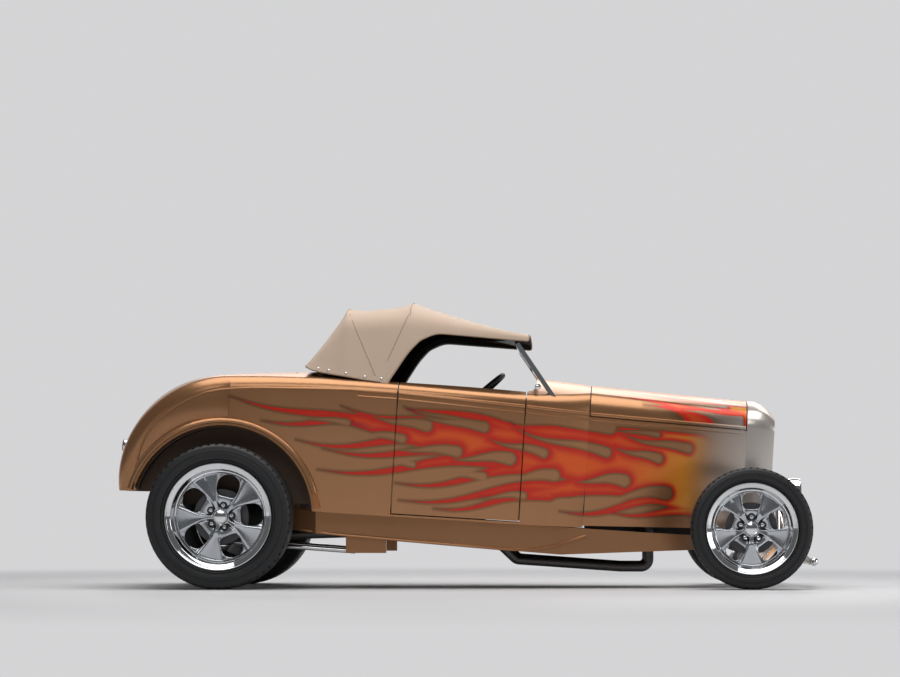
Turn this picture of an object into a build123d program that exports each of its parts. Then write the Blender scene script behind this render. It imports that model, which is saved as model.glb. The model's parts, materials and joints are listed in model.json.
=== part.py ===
"""Street rod roadster with a fabric top, on a ladder frame with four free wheels.

Millimetres. X points forward, Y to the car's left, Z up. The origin is on the floor,
midway along the car. The body leans nose down on its frame, so most of the body is
drawn in a raked frame: xb along the body, zb square to it.
"""

import math
import os
from collections import namedtuple

from build123d import *

os.makedirs("parts", exist_ok=True)

# Driving dimensions: stance and wheels
WHEELBASE = 2692
REAR_AXLE_X = -1235
FRONT_AXLE_X = REAR_AXLE_X + WHEELBASE
REAR_TYRE_R = 368
REAR_TYRE_W = 288
REAR_TRACK = 1440
FRONT_TYRE_R = 308
FRONT_TYRE_W = 205
FRONT_TRACK = 1380
RAKE = 3.6

# Driving dimensions: body
WALL = 40
GAP = 6
ARCH_R = 462
ARCH_LIP = 26
COWL_FRONT = 581
HOOD_FRONT = 1402
SHELL_FRONT = 1545
DOOR_FRONT = 252
DOOR_REAR = -393
DOOR_BOTTOM = 361
SILL_BOTTOM = 345
COCKPIT_FRONT = 300
COCKPIT_REAR = -850
LID_FRONT = -945
LID_ANGLE = 47
LID_HALF = 420
CLOTH = 12

# Driving dimensions: steering and suspension
KINGPIN_Y = 585
KINGPIN_R = 12
BOSS_R = 24
STEER_ARM = 130
BEAM_R = 27
BEAM_Z = 200
AXLE_TUBE_R = 40
RUN_FIT = 0.05
CLEAR = 0.3

COS_R = math.cos(math.radians(RAKE))
SIN_R = math.sin(math.radians(RAKE))


def raked(xb, y, zb):
    """Point of the raked body frame, in the car's frame."""
    return (xb * COS_R + zb * SIN_R, y, zb * COS_R - xb * SIN_R)


def cross_plane(xb):
    """Plane square to the body at xb: its own x is Y and its own y is zb."""
    return Plane(origin=raked(xb, 0, 0), x_dir=(0, 1, 0), z_dir=(COS_R, 0, -SIN_R))


def tail_plane(lean):
    """Plane through the rear axle that leans back by lean degrees from square."""
    turn = math.radians(lean - RAKE)
    return Plane(
        origin=(REAR_AXLE_X, 0, REAR_TYRE_R),
        x_dir=(0, 1, 0),
        z_dir=(math.cos(turn), 0, math.sin(turn)),
    )


def side_plane(y):
    """Upright plane along the body at y: its own axes are xb and zb."""
    return Plane(origin=(0, y, 0), x_dir=(COS_R, 0, -SIN_R), z_dir=(0, -1, 0))


AXLE_XB = REAR_AXLE_X * COS_R - REAR_TYRE_R * SIN_R
AXLE_ZB = REAR_AXLE_X * SIN_R + REAR_TYRE_R * COS_R

# Body sections, front to back. belt is the widest line, crown the top at the middle,
# round the radius from the side into the top. Tail heights are measured from the axle.
Section = namedtuple("Section", "plane half low_half low belt crown round")
HOOD = [
    Section(cross_plane(HOOD_FRONT), 262, 236, 393, 920, 1061, 100),
    Section(cross_plane(COWL_FRONT), 470, 440, 358, 938, 1094, 110),
]
TUB = [
    Section(cross_plane(COWL_FRONT), 470, 440, 350, 938, 1094, 110),
    Section(cross_plane(255), 592, 556, SILL_BOTTOM, 955, 1112, 62),
    Section(cross_plane(-396), 682, 640, SILL_BOTTOM, 970, 1102, 55),
    Section(cross_plane(-900), 690, 648, 347, 962, 1071, 66),
    Section(cross_plane(AXLE_XB), 662, 626, 365, AXLE_ZB + 651, AXLE_ZB + 749, 72),
]
TAIL = [
    Section(tail_plane(0), 662, 648, 420, 651, 749, 72),
    Section(tail_plane(14), 641, 629, 420, 634, 743, 78),
    Section(tail_plane(28), 616, 606, 420, 611, 737, 84),
    Section(tail_plane(52), 552, 545, 420, 557, 682, 96),
    Section(tail_plane(64), 524, 518, 420, 528, 645, 94),
    Section(tail_plane(75), 500, 495, 420, 500, 612, 88),
    Section(tail_plane(84), 484, 480, 420, 476, 584, 80),
]
TAIL_BOTTOM = 503
SHELL = [
    Section(cross_plane(HOOD_FRONT), 266, 226, 424, 920, 1063, 102),
    Section(cross_plane(1478), 264, 224, 424, 916, 1048, 100),
    Section(cross_plane(SHELL_FRONT), 246, 208, 426, 900, 985, 70),
]
SIDE_BULGE = 12


def section_loft(rows, inset=0.0, drop=0.0, ruled=False):
    """Solid through the sections of a table, drawn in by inset and down by drop."""
    with BuildPart() as solid:
        for row in rows:
            half = row.half - inset
            low = row.low_half - inset
            bottom = row.low - drop
            rise = row.crown - inset - row.belt
            small = max(row.round - inset, 14)
            large = (half**2 + rise**2 - 2 * half * small) / (2 * (rise - small))
            apex = row.belt + rise
            turn = math.atan2(large - rise, half - small)
            join_y = large * math.cos(turn)
            join_z = apex - large + large * math.sin(turn)
            mid = turn / 2
            shoulder_y = half - small + small * math.cos(mid)
            shoulder_z = row.belt + small * math.sin(mid)
            side_y = (half + low) / 2 + SIDE_BULGE
            side_z = (row.belt + bottom) / 2
            with BuildSketch(row.plane):
                with BuildLine():
                    Line((-low, bottom), (low, bottom))
                    ThreePointArc((low, bottom), (side_y, side_z), (half, row.belt))
                    ThreePointArc((half, row.belt), (shoulder_y, shoulder_z), (join_y, join_z))
                    ThreePointArc((join_y, join_z), (0, apex), (-join_y, join_z))
                    ThreePointArc((-join_y, join_z), (-shoulder_y, shoulder_z), (-half, row.belt))
                    ThreePointArc((-half, row.belt), (-side_y, side_z), (-low, bottom))
                make_face()
        loft(ruled=ruled)
    return solid.part


def side_region(points, y_from, y_to):
    """Block between two Y values whose side view is the polygon, in the raked frame."""
    with BuildPart() as solid:
        with BuildSketch(side_plane(y_to)):
            with BuildLine():
                Polyline(*points, close=True)
            make_face()
        extrude(amount=y_to - y_from)
    return solid.part


def flat_region(points, y_from, y_to):
    """Block between two Y values whose side view is the polygon, in the car's frame."""
    with BuildPart() as solid:
        with BuildSketch(Plane(origin=(0, y_to, 0), x_dir=(1, 0, 0), z_dir=(0, -1, 0))):
            with BuildLine():
                Polyline(*points, close=True)
            make_face()
        extrude(amount=y_to - y_from)
    return solid.part


def rod(start, end, radius, bore=0.0):
    """Round bar, or a tube where bore is given, between two points."""
    line = Vector(*end) - Vector(*start)
    with BuildPart() as solid:
        with BuildSketch(Plane(origin=start, z_dir=tuple(line))):
            Circle(radius)
            if bore:
                Circle(bore, mode=Mode.SUBTRACT)
        extrude(amount=line.length)
    return solid.part


def block(x_from, x_to, y_from, y_to, z_from, z_to):
    """Box between two corners."""
    middle = ((x_from + x_to) / 2, (y_from + y_to) / 2, (z_from + z_to) / 2)
    with BuildPart() as solid:
        with Locations(middle):
            Box(x_to - x_from, y_to - y_from, z_to - z_from)
    return solid.part


def mirrored(solid):
    """The same solid on the other side of the car."""
    return mirror(solid, about=Plane.XZ)


def write(solid, label):
    """Label a piece and write its file."""
    solid.label = label
    export_step(solid, f"parts/{label}.step")


# Body shell, then the openings that split it into panels
outer_body = section_loft(TUB) + section_loft(TAIL)
inner_body = section_loft(TUB, WALL, 60) + section_loft(TAIL, WALL, 60)
with BuildPart() as arch_hole:
    with Locations((REAR_AXLE_X, 0, REAR_TYRE_R)):
        Cylinder(ARCH_R, 2400, rotation=(90, 0, 0))

with BuildPart() as cockpit_hole:
    with BuildSketch(Plane(origin=raked(0, 0, 880), x_dir=(COS_R, 0, -SIN_R), z_dir=(SIN_R, 0, COS_R))):
        with BuildLine():
            Polyline(
                (COCKPIT_FRONT, 452),
                (255, 522),
                (-396, 610),
                (-700, 606),
                (COCKPIT_REAR + 40, 540),
                (COCKPIT_REAR, 400),
                (COCKPIT_REAR, -400),
                (COCKPIT_REAR + 40, -540),
                (-700, -606),
                (-396, -610),
                (255, -522),
                (COCKPIT_FRONT, -452),
                close=True,
            )
        make_face()
    extrude(amount=400)

panels = outer_body - inner_body - arch_hole.part - cockpit_hole.part


def door_outline(grow):
    """Side view of the door opening, grown by grow."""
    return [
        (DOOR_REAR - grow, DOOR_BOTTOM - grow),
        (DOOR_FRONT + grow, DOOR_BOTTOM - grow),
        (DOOR_FRONT + grow, 1300),
        (DOOR_REAR - grow, 1300),
    ]


def lid_outline(grow):
    """Side view of the deck lid, grown by grow: its lower edge lies on a tail plane."""
    turn = math.radians(LID_ANGLE)
    step = (-grow * math.cos(turn), -grow * math.sin(turn))
    near = (AXLE_XB - 545 * math.sin(turn), AXLE_ZB + 545 * math.cos(turn))
    far = (AXLE_XB - 900 * math.sin(turn), AXLE_ZB + 900 * math.cos(turn))
    return [
        (LID_FRONT + grow, 1300),
        (LID_FRONT + grow, 900),
        (AXLE_XB, 780),
        (near[0] + step[0], near[1] + step[1]),
        (far[0] + step[0], far[1] + step[1]),
        (far[0] + step[0], 1300),
    ]


door_left = panels & side_region(door_outline(0), 0, 900)
door_right = panels & side_region(door_outline(0), -900, 0)
deck_lid = panels & side_region(lid_outline(0), -LID_HALF, LID_HALF)
cut_panels = panels - side_region(door_outline(GAP), -900, 900)
cut_panels = cut_panels - side_region(lid_outline(GAP), -LID_HALF - GAP, LID_HALF + GAP)
sill_edge = [
    (DOOR_REAR - GAP, 300),
    (DOOR_FRONT + GAP, 300),
    (DOOR_FRONT + GAP, 900),
    (DOOR_REAR - GAP, 900),
]
sills = cut_panels & side_region(sill_edge, -900, 900)
cowl_side = [(DOOR_FRONT + GAP, 200), (900, 200), (900, 1300), (DOOR_FRONT + GAP, 1300)]
cowl = cut_panels & side_region(cowl_side, -900, 900)
rear_edge = DOOR_REAR - GAP
rear_side = [(-2200, 100), (rear_edge, 100), (rear_edge, 1300), (-2200, 1300)]
rear_body = cut_panels & side_region(rear_side, -900, 900)
under_tail = block(-2100, REAR_AXLE_X - 265, -900, 900, 0, TAIL_BOTTOM)
rear_body = rear_body - under_tail



def ledge(rows, x_wall, x_edge, x_tip, y_from, y_to, z_from, z_to):
    """Strip on the inside of a panel that runs on past its edge, just below the next panel."""
    low, high = sorted((x_wall, x_edge))
    root = section_loft(rows, WALL - 2, 60) - section_loft(rows, WALL + 8, 60)
    root = root & side_region([(low, z_from), (high, z_from), (high, z_to), (low, z_to)], y_from, y_to)
    low, high = sorted((x_edge, x_tip))
    lip = section_loft(rows, WALL + CLEAR, 60) - section_loft(rows, WALL + 8, 60)
    lip = lip & side_region([(low, z_from), (high, z_from), (high, z_to), (low, z_to)], y_from, y_to)
    return root + lip


jamb = ledge(TUB, DOOR_REAR - GAP - 24, DOOR_REAR - GAP, DOOR_REAR + 18, 300, 900, 400, 900)
lid_ledge = ledge(TUB, LID_FRONT + GAP + 22, LID_FRONT + GAP, LID_FRONT - 16, -380, 380, 950, 1200)
rear_body = rear_body + jamb + mirrored(jamb) + lid_ledge
hood_root = section_loft(TUB, WALL - 2, 60) - section_loft(TUB, WALL + 8, 60)
root_side = [(560, 1000), (COWL_FRONT, 1000), (COWL_FRONT, 1200), (560, 1200)]
hood_root = hood_root & side_region(root_side, -380, 380)
hood_lip = section_loft(HOOD, WALL + CLEAR, 60, ruled=True) - section_loft(HOOD, WALL + 8, 60, ruled=True)
lip_side = [(COWL_FRONT, 1000), (604, 1000), (604, 1200), (COWL_FRONT, 1200)]
hood_lip = hood_lip & side_region(lip_side, -380, 380)
cowl = cowl + hood_root + hood_lip

# Rolled lip around each rear wheel opening
with BuildPart() as arch_lip:
    with BuildSketch(Plane(origin=(REAR_AXLE_X, 0, REAR_TYRE_R))):
        with BuildLine():
            Polyline(
                (ARCH_R, -612),
                (ARCH_R, -664 - ARCH_LIP),
                (ARCH_R + 4, -668 - ARCH_LIP),
                (ARCH_R + 22, -668 - ARCH_LIP),
                (ARCH_R + 54, -640),
                (ARCH_R + 38, -612),
                close=True,
            )
        make_face()
    revolve(axis=Axis((REAR_AXLE_X, 0, REAR_TYRE_R), (0, 1, 0)), revolution_arc=360)
lip_upper = flat_region(
    [(-1672, 497), (-1235, 368), (-808, 409), (-700, 409), (-700, 900), (-1700, 900)], -900, 0
)
lip_right = arch_lip.part & lip_upper
lip_right = lip_right - inner_body
lip_right = lip_right - under_tail
rear_body = rear_body + lip_right + mirrored(lip_right)

write(door_left, "door_left")
write(door_right, "door_right")
write(deck_lid, "deck_lid")
write(sills, "sills")
write(cowl, "cowl")
write(rear_body, "rear_body")

# Hood in three panels, and the grille shell ahead of it
hood_panels = section_loft(HOOD, ruled=True) - section_loft(HOOD, WALL, 60, ruled=True)
SEAM_REAR = 924
SEAM_FRONT = 907
hood_top = hood_panels & side_region(
    [
        (COWL_FRONT + GAP, SEAM_REAR),
        (HOOD_FRONT - GAP, SEAM_FRONT),
        (HOOD_FRONT - GAP, 1300),
        (COWL_FRONT + GAP, 1300),
    ],
    -900,
    900,
)
hood_lower = [
    (COWL_FRONT, 300),
    (HOOD_FRONT, 300),
    (HOOD_FRONT, SEAM_FRONT - GAP),
    (COWL_FRONT, SEAM_REAR - GAP),
]
hood_side_left = hood_panels & side_region(hood_lower, 0, 900)
hood_side_right = hood_panels & side_region(hood_lower, -900, 0)
write(hood_top, "hood_top")
write(hood_side_left, "hood_side_left")
write(hood_side_right, "hood_side_right")

FRAME_EDGE = 38
opening = [row._replace(low=row.low + 2 * FRAME_EDGE) for row in SHELL]
grille_void = section_loft(opening, FRAME_EDGE, FRAME_EDGE)
grille_shell = section_loft(SHELL) - grille_void
write(grille_shell, "grille_shell")

BAR_PITCH = 17
BAR_COUNT = 25
with BuildPart() as bars:
    for index in range(BAR_COUNT):
        y = (index - (BAR_COUNT - 1) / 2) * BAR_PITCH
        x = SHELL_FRONT - 8 - 0.06 * abs(y)
        with BuildSketch(side_plane(y + 3)):
            with BuildLine():
                Polyline((x - 22, 300), (x, 300), (x, 1200), (x - 22, 1200), close=True)
            make_face()
        extrude(amount=6)
    for height in (520, 640, 760, 880):
        with BuildSketch(side_plane(250)):
            with BuildLine():
                Polyline(
                    (SHELL_FRONT - 42, height),
                    (SHELL_FRONT - 20, height),
                    (SHELL_FRONT - 20, height + 8),
                    (SHELL_FRONT - 42, height + 8),
                    close=True,
                )
            make_face()
        extrude(amount=500)
grille_insert = bars.part & section_loft(opening, FRAME_EDGE + CLEAR, FRAME_EDGE - CLEAR)
write(grille_insert, "grille_insert")
radiator = side_region([(1410, 462 + CLEAR), (1462, 462 + CLEAR), (1462, 930), (1410, 930)], -180, 180)
write(radiator, "radiator")

# Ladder frame: rail sections from the tail to the front horns
Rail = namedtuple("Rail", "x outer bottom top")
RAIL_W = 58


def under_body(x):
    """Height just below the body's lower edge at x."""
    low = SILL_BOTTOM - CLEAR
    return low * COS_R - (x - low * SIN_R) * SIN_R / COS_R


RAILS = [
    Rail(-1600, 462, 480, 550),
    Rail(-1450, 505, 500, 585),
    Rail(-1080, 528, 500, 590),
    Rail(-880, 536, 300, 412),
    Rail(-760, 580, 282, under_body(-760)),
    Rail(-20, 578, 216, under_body(-20)),
    Rail(290, 532, 190, under_body(290)),
    Rail(490, 470, 173, under_body(490)),
    Rail(930, 398, 188, 286),
    Rail(1166, 366, 196, 272),
    Rail(1360, 350, 246, 330),
    Rail(1540, 342, 238, 318),
    Rail(1700, 334, 165, 220),
    Rail(1776, 330, 118, 152),
]
with BuildPart() as rail_left:
    for row in RAILS:
        with BuildSketch(Plane(origin=(row.x, 0, 0), x_dir=(0, 1, 0), z_dir=(1, 0, 0))):
            with Locations((row.outer - RAIL_W / 2, (row.bottom + row.top) / 2)):
                Rectangle(RAIL_W, row.top - row.bottom)
    loft(ruled=True)
write(Compound(children=[rail_left.part, mirrored(rail_left.part)]), "frame_rails")


def rail_inner(x):
    """Half width between the rails at x."""
    for back, front in zip(RAILS, RAILS[1:]):
        if back.x <= x <= front.x:
            share = (x - back.x) / (front.x - back.x)
            return back.outer + share * (front.outer - back.outer) - RAIL_W
    return RAILS[-1].outer - RAIL_W


def rail_bottom(x):
    """Height of the rails' lower face at x."""
    for back, front in zip(RAILS, RAILS[1:]):
        if back.x <= x <= front.x:
            share = (x - back.x) / (front.x - back.x)
            return back.bottom + share * (front.bottom - back.bottom)
    return RAILS[-1].bottom


Cross = namedtuple("Cross", "x depth bottom top")
CROSSMEMBERS = [
    Cross(-1570, 50, 486, 546),
    Cross(-1030, 60, 500, 580),
    Cross(-560, 70, 358, 376),
    Cross(60, 80, 301, 330),
    Cross(1462, 60, 262, 316),
]
cross_list = []
for row in CROSSMEMBERS:
    with BuildPart() as member:
        with BuildSketch(Plane(origin=(row.x - row.depth / 2, 0, row.bottom))):
            with BuildLine():
                Polyline(
                    (0, -rail_inner(row.x - row.depth / 2)),
                    (row.depth, -rail_inner(row.x + row.depth / 2)),
                    (row.depth, rail_inner(row.x + row.depth / 2)),
                    (0, rail_inner(row.x - row.depth / 2)),
                    close=True,
                )
            make_face()
        extrude(amount=row.top - row.bottom)
    cross_list.append(member.part)
engine_mount = block(880, 920, 150 + CLEAR, rail_inner(920) - CLEAR, 262, 284)
write(Compound(children=cross_list + [engine_mount, mirrored(engine_mount)]), "crossmembers")

SPREADER_X = 1794
SPREADER_Z = 136
spreader = rod((SPREADER_X, -352, SPREADER_Z), (SPREADER_X, 352, SPREADER_Z), 17.7)
with BuildPart() as spreader_ends:
    with Locations((SPREADER_X, 352, SPREADER_Z), (SPREADER_X, -352, SPREADER_Z)):
        Sphere(22)
write(spreader + spreader_ends.part, "spreader_bar")

# Front axle, knuckles and tie rod
BOSS_HALF = 38
BEAM_END = 430
with BuildPart() as beam:
    with BuildLine() as beam_line:
        Polyline(
            (FRONT_AXLE_X, -KINGPIN_Y, FRONT_TYRE_R),
            (FRONT_AXLE_X, -BEAM_END, BEAM_Z),
            (FRONT_AXLE_X, BEAM_END, BEAM_Z),
            (FRONT_AXLE_X, KINGPIN_Y, FRONT_TYRE_R),
        )
    with BuildSketch(Plane(origin=beam_line.line @ 0, z_dir=beam_line.line % 0)):
        Circle(BEAM_R)
    sweep(transition=Transition.RIGHT)
    for side in (-1, 1):
        with Locations((FRONT_AXLE_X, side * KINGPIN_Y, FRONT_TYRE_R)):
            Cylinder(BOSS_R + 14, 2 * BOSS_HALF + 60, mode=Mode.SUBTRACT)
            Cylinder(BOSS_R + 6, 2 * BOSS_HALF)
        with Locations((FRONT_AXLE_X, side * (KINGPIN_Y - BOSS_R), FRONT_TYRE_R)):
            Box(2 * BOSS_R, 2 * BOSS_R, 2 * BOSS_HALF)
    for side in (-1, 1):
        with Locations((FRONT_AXLE_X, side * (KINGPIN_Y + 60), FRONT_TYRE_R)):
            Box(120, 2 * (60 - BOSS_R), 200, mode=Mode.SUBTRACT)
    for side in (-1, 1):
        with Locations((FRONT_AXLE_X, side * KINGPIN_Y, FRONT_TYRE_R)):
            Cylinder(KINGPIN_R + RUN_FIT, 200, mode=Mode.SUBTRACT)
write(beam.part, "front_axle")

LUG_T = 22
PLATE_Y = KINGPIN_Y + BOSS_R + 8
ARM_Z = FRONT_TYRE_R - BOSS_HALF - 1 - LUG_T
ROD_Z = ARM_Z - 14
SPINDLE_R = 16
FRONT_PAD = 672
with BuildPart() as knuckle:
    for end in (-1, 1):
        with Locations((FRONT_AXLE_X, KINGPIN_Y, FRONT_TYRE_R + end * (BOSS_HALF + 1 + LUG_T / 2))):
            Cylinder(BOSS_R, LUG_T)
        with Locations((FRONT_AXLE_X, KINGPIN_Y + 24, FRONT_TYRE_R + end * (BOSS_HALF + 1 + LUG_T / 2))):
            Box(2 * BOSS_R, 48, LUG_T)
    with Locations((FRONT_AXLE_X, PLATE_Y + 8, FRONT_TYRE_R)):
        Box(2 * BOSS_R, 16, 2 * (BOSS_HALF + 1 + LUG_T))
    with Locations((FRONT_AXLE_X, KINGPIN_Y, FRONT_TYRE_R)):
        Cylinder(KINGPIN_R, 2 * (BOSS_HALF + LUG_T))
    with Locations((FRONT_AXLE_X - STEER_ARM / 2, KINGPIN_Y, ARM_Z + LUG_T / 2)):
        Box(STEER_ARM + 24, 26, LUG_T)
    with Locations((FRONT_AXLE_X - STEER_ARM, KINGPIN_Y, ARM_Z - 10)):
        Cylinder(8, 40)
    with BuildSketch(Plane(origin=(FRONT_AXLE_X, PLATE_Y + 10, FRONT_TYRE_R), z_dir=(0, 1, 0))):
        Circle(SPINDLE_R)
    extrude(amount=FRONT_PAD - 4 - PLATE_Y - 10)
write(knuckle.part, "knuckle_left")
write(mirrored(knuckle.part), "knuckle_right")

with BuildPart() as tie_rod:
    with BuildSketch(Plane(origin=(FRONT_AXLE_X - STEER_ARM, -KINGPIN_Y, ROD_Z - 12), z_dir=(0, 1, 0))):
        Circle(11)
    extrude(amount=2 * KINGPIN_Y)
    for side in (-1, 1):
        with Locations((FRONT_AXLE_X - STEER_ARM, side * KINGPIN_Y, ROD_Z - 6)):
            Cylinder(19, 36)
            Cylinder(8 + RUN_FIT, 80, mode=Mode.SUBTRACT)
write(tie_rod.part, "tie_rod")

Coil = namedtuple("Coil", "name x_low y_low z_low x_high y_high z_high radius")
COILS = [
    Coil("rear_coilovers", REAR_AXLE_X - 98, 440, 327.6, REAR_AXLE_X - 40, 400, 628, 36),
]
for row in COILS:
    low = (row.x_low, row.y_low, row.z_low)
    high = (row.x_high, row.y_high, row.z_high)
    body = rod(low, high, row.radius)
    write(Compound(children=[body, mirrored(body)]), row.name)

SPRING_W = 40
SPRING_Z = BEAM_Z + BEAM_R + CLEAR
leaf = block(FRONT_AXLE_X - SPRING_W / 2, FRONT_AXLE_X + SPRING_W / 2, -405, 405, SPRING_Z, SPRING_Z + 11)
perch = block(FRONT_AXLE_X - SPRING_W / 2, FRONT_AXLE_X + SPRING_W / 2, -70, 70, SPRING_Z + 5, 262)
write(leaf + perch, "front_leaf_spring")

# Rear axle with its links
HUB_SHAFT_R = 20
REAR_PAD = 684
with BuildPart() as rear_axle:
    with BuildSketch(Plane(origin=(REAR_AXLE_X, -560, REAR_TYRE_R), z_dir=(0, 1, 0))):
        Circle(AXLE_TUBE_R)
    extrude(amount=1120)
    with BuildSketch(Plane(origin=(REAR_AXLE_X, -REAR_PAD + 4, REAR_TYRE_R), z_dir=(0, 1, 0))):
        Circle(HUB_SHAFT_R)
    extrude(amount=2 * (REAR_PAD - 4))
    with Locations((REAR_AXLE_X, 0, REAR_TYRE_R)):
        Sphere(135)
    with Locations((REAR_AXLE_X - 60, 0, REAR_TYRE_R), (REAR_AXLE_X + 110, 0, REAR_TYRE_R)):
        Cylinder(90, 100, rotation=(0, 90, 0))
    for side in (-1, 1):
        with Locations((REAR_AXLE_X, side * 497, REAR_TYRE_R - 72)):
            Box(60, 14, 150)
        with Locations((REAR_AXLE_X - 62, side * 440, 310)):
            Box(144, 40, 18)
        with Locations((REAR_AXLE_X, side * 440, 325)):
            Box(40, 40, 40)
write(rear_axle.part, "rear_axle")

LINK_REAR = (REAR_AXLE_X, 476.2, 240)
LINK_FRONT = (-560, 512, 190)
link = rod(LINK_REAR, LINK_FRONT, 12)
write(Compound(children=[link, mirrored(link)]), "rear_link_bars")
bracket = flat_region(
    [(-606, 182), (-400, 182), (-400, rail_bottom(-400)), (-606, rail_bottom(-606))],
    LINK_FRONT[1] + 12 + CLEAR,
    LINK_FRONT[1] + 54,
)
write(Compound(children=[bracket, mirrored(bracket)]), "link_brackets")

# Engine, gearbox and exhaust
with BuildPart() as engine:
    with Locations((915, 0, 430)):
        Box(560, 300, 340)
    for side in (-1, 1):
        with BuildSketch(Plane(origin=(650, 0, 0), x_dir=(0, 1, 0), z_dir=(1, 0, 0))):
            with BuildLine():
                Polyline(
                    (side * 40, 560),
                    (side * 150, 470),
                    (side * 262, 610),
                    (side * 170, 720),
                    (side * 40, 640),
                    close=True,
                )
            make_face()
        extrude(amount=520)
    with Locations((880, 0, 700)):
        Cylinder(150, 130)
    with Locations((1215, 0, 470)):
        Cylinder(90, 60, rotation=(0, 90, 0))
write(engine.part, "engine_block")

with BuildPart() as gearbox:
    for x, half, low, high in ((612, 118, 196, 308), (108, 88, 206, 306)):
        with BuildSketch(Plane(origin=(x, 0, 0), x_dir=(0, 1, 0), z_dir=(1, 0, 0))):
            with Locations((0, (low + high) / 2)):
                Rectangle(2 * half, high - low)
    loft(ruled=True)
bell = block(612, 635, -200, 200, 240, 500)
shaft = rod((107, 0, 256), (REAR_AXLE_X + 168, 0, REAR_TYRE_R), 34)
write(Compound(children=[gearbox.part, bell, shaft]), "gearbox_and_shaft")

PIPE_R = 25
MUFFLER_R = 40
MUFFLER_Y = 372
MUFFLER_Z = 256
with BuildPart() as exhaust:
    with BuildLine() as pipe_line:
        FilletPolyline(
            (945, 150 + CLEAR, 400),
            (945, 264, 400),
            (945, 264, 108),
            (800, 264, 108),
            (262, 340, 146),
            (150, MUFFLER_Y, MUFFLER_Z - 4),
            (60, MUFFLER_Y, MUFFLER_Z),
            radius=40,
        )
    with BuildSketch(Plane(origin=pipe_line.line @ 0, z_dir=pipe_line.line % 0)):
        Circle(PIPE_R)
    sweep()
muffler = rod((59, MUFFLER_Y, MUFFLER_Z), (-420, MUFFLER_Y, MUFFLER_Z + 34), MUFFLER_R)
tail_pipe = rod((-421, MUFFLER_Y, MUFFLER_Z + 34), (-900, MUFFLER_Y, MUFFLER_Z + 20), PIPE_R)
one_side = [exhaust.part, muffler, tail_pipe]
write(Compound(children=one_side + [mirrored(piece) for piece in one_side]), "exhaust_pipes")

# Floor, firewall and wheel tubs
FLOOR_T = 10
TUB_INNER = 546
Floor = namedtuple("Floor", "xb half zb")
FLOORS = [
    Floor(560, 392, 350.4),
    Floor(255, 512, 345.1),
    Floor(-396, 598, 345.1),
    Floor(-790, 604, 347.2),
]
with BuildPart() as floor_pan:
    for row in FLOORS:
        with BuildSketch(cross_plane(row.xb)):
            with Locations((0, row.zb + FLOOR_T / 2)):
                Rectangle(2 * row.half, FLOOR_T)
    loft(ruled=True)
write(floor_pan.part, "floor_pan")

inner_cabin = section_loft(TUB, WALL + CLEAR, 0)
FIREWALL = 546
firewall_line = [(FIREWALL, 366), (FIREWALL + 10, 366), (FIREWALL + 10, 1200), (FIREWALL, 1200)]
firewall = inner_cabin & side_region(firewall_line, -900, 900)
write(firewall, "firewall")
bulkhead_line = [(-876, 362), (-868, 362), (-868, 1200), (-876, 1200)]
boot_line = [(-876.3, 556), (-876.3, 566), (-1650, 566), (-1760, 424), (-1752, 418), (-1645, 556)]
boot_room = section_loft(TUB, WALL + 1, 60) + section_loft(TAIL, WALL + 1, 60)
boot_floor = side_region(boot_line, CLEAR - TUB_INNER, TUB_INNER - CLEAR) & boot_room
bulkhead = inner_cabin & side_region(bulkhead_line, CLEAR - TUB_INNER, TUB_INNER - CLEAR)
write(Compound(children=[boot_floor, bulkhead]), "boot_floor")

with BuildPart() as wheel_tub:
    with BuildSketch(Plane(origin=(REAR_AXLE_X, 0, REAR_TYRE_R))):
        with BuildLine():
            Polyline(
                (0, TUB_INNER),
                (ARCH_R - CLEAR, TUB_INNER),
                (ARCH_R - CLEAR, 640),
                (ARCH_R - 9, 640),
                (ARCH_R - 9, TUB_INNER + 9),
                (0, TUB_INNER + 9),
                close=True,
            )
        make_face()
    revolve(axis=Axis((REAR_AXLE_X, 0, REAR_TYRE_R), (0, 1, 0)), revolution_arc=360)
tub = wheel_tub.part & flat_region(
    [
        (-1760, TAIL_BOTTOM),
        (-1500, TAIL_BOTTOM),
        (-1500, 432),
        (-700, 432),
        (-700, 900),
        (-1760, 900),
    ],
    0,
    900,
)
write(Compound(children=[tub, mirrored(tub)]), "wheel_tubs")

# Windscreen: its plane leans back from the cowl
SCREEN_LEAN = 34
SCREEN_FOOT = (452, 0, 985)
lean = math.radians(SCREEN_LEAN)
screen_plane = Plane(origin=SCREEN_FOOT, x_dir=(0, 1, 0), z_dir=(math.cos(lean), 0, math.sin(lean)))
SCREEN_TOP = 330
with BuildPart() as screen_frame:
    with BuildSketch(screen_plane):
        with BuildLine():
            Line((-478, 92), (-462, SCREEN_TOP))
            Line((-462, SCREEN_TOP), (462, SCREEN_TOP))
            Line((462, SCREEN_TOP), (478, 92))
            ThreePointArc((478, 92), (0, 168), (-478, 92))
        make_face()
        with BuildLine():
            Line((-457, 114), (-443, SCREEN_TOP - 20))
            Line((-443, SCREEN_TOP - 20), (443, SCREEN_TOP - 20))
            Line((443, SCREEN_TOP - 20), (457, 114))
            ThreePointArc((457, 114), (0, 188), (-457, 114))
        make_face(mode=Mode.SUBTRACT)
    extrude(amount=10, both=True)
with BuildPart() as screen_glass:
    with BuildSketch(screen_plane):
        with BuildLine():
            Line((-456.7, 114.3), (-442.7, SCREEN_TOP - 20.3))
            Line((-442.7, SCREEN_TOP - 20.3), (442.7, SCREEN_TOP - 20.3))
            Line((442.7, SCREEN_TOP - 20.3), (456.7, 114.3))
            ThreePointArc((456.7, 114.3), (0, 188.3), (-456.7, 114.3))
        make_face()
    extrude(amount=2.5, both=True)
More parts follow.
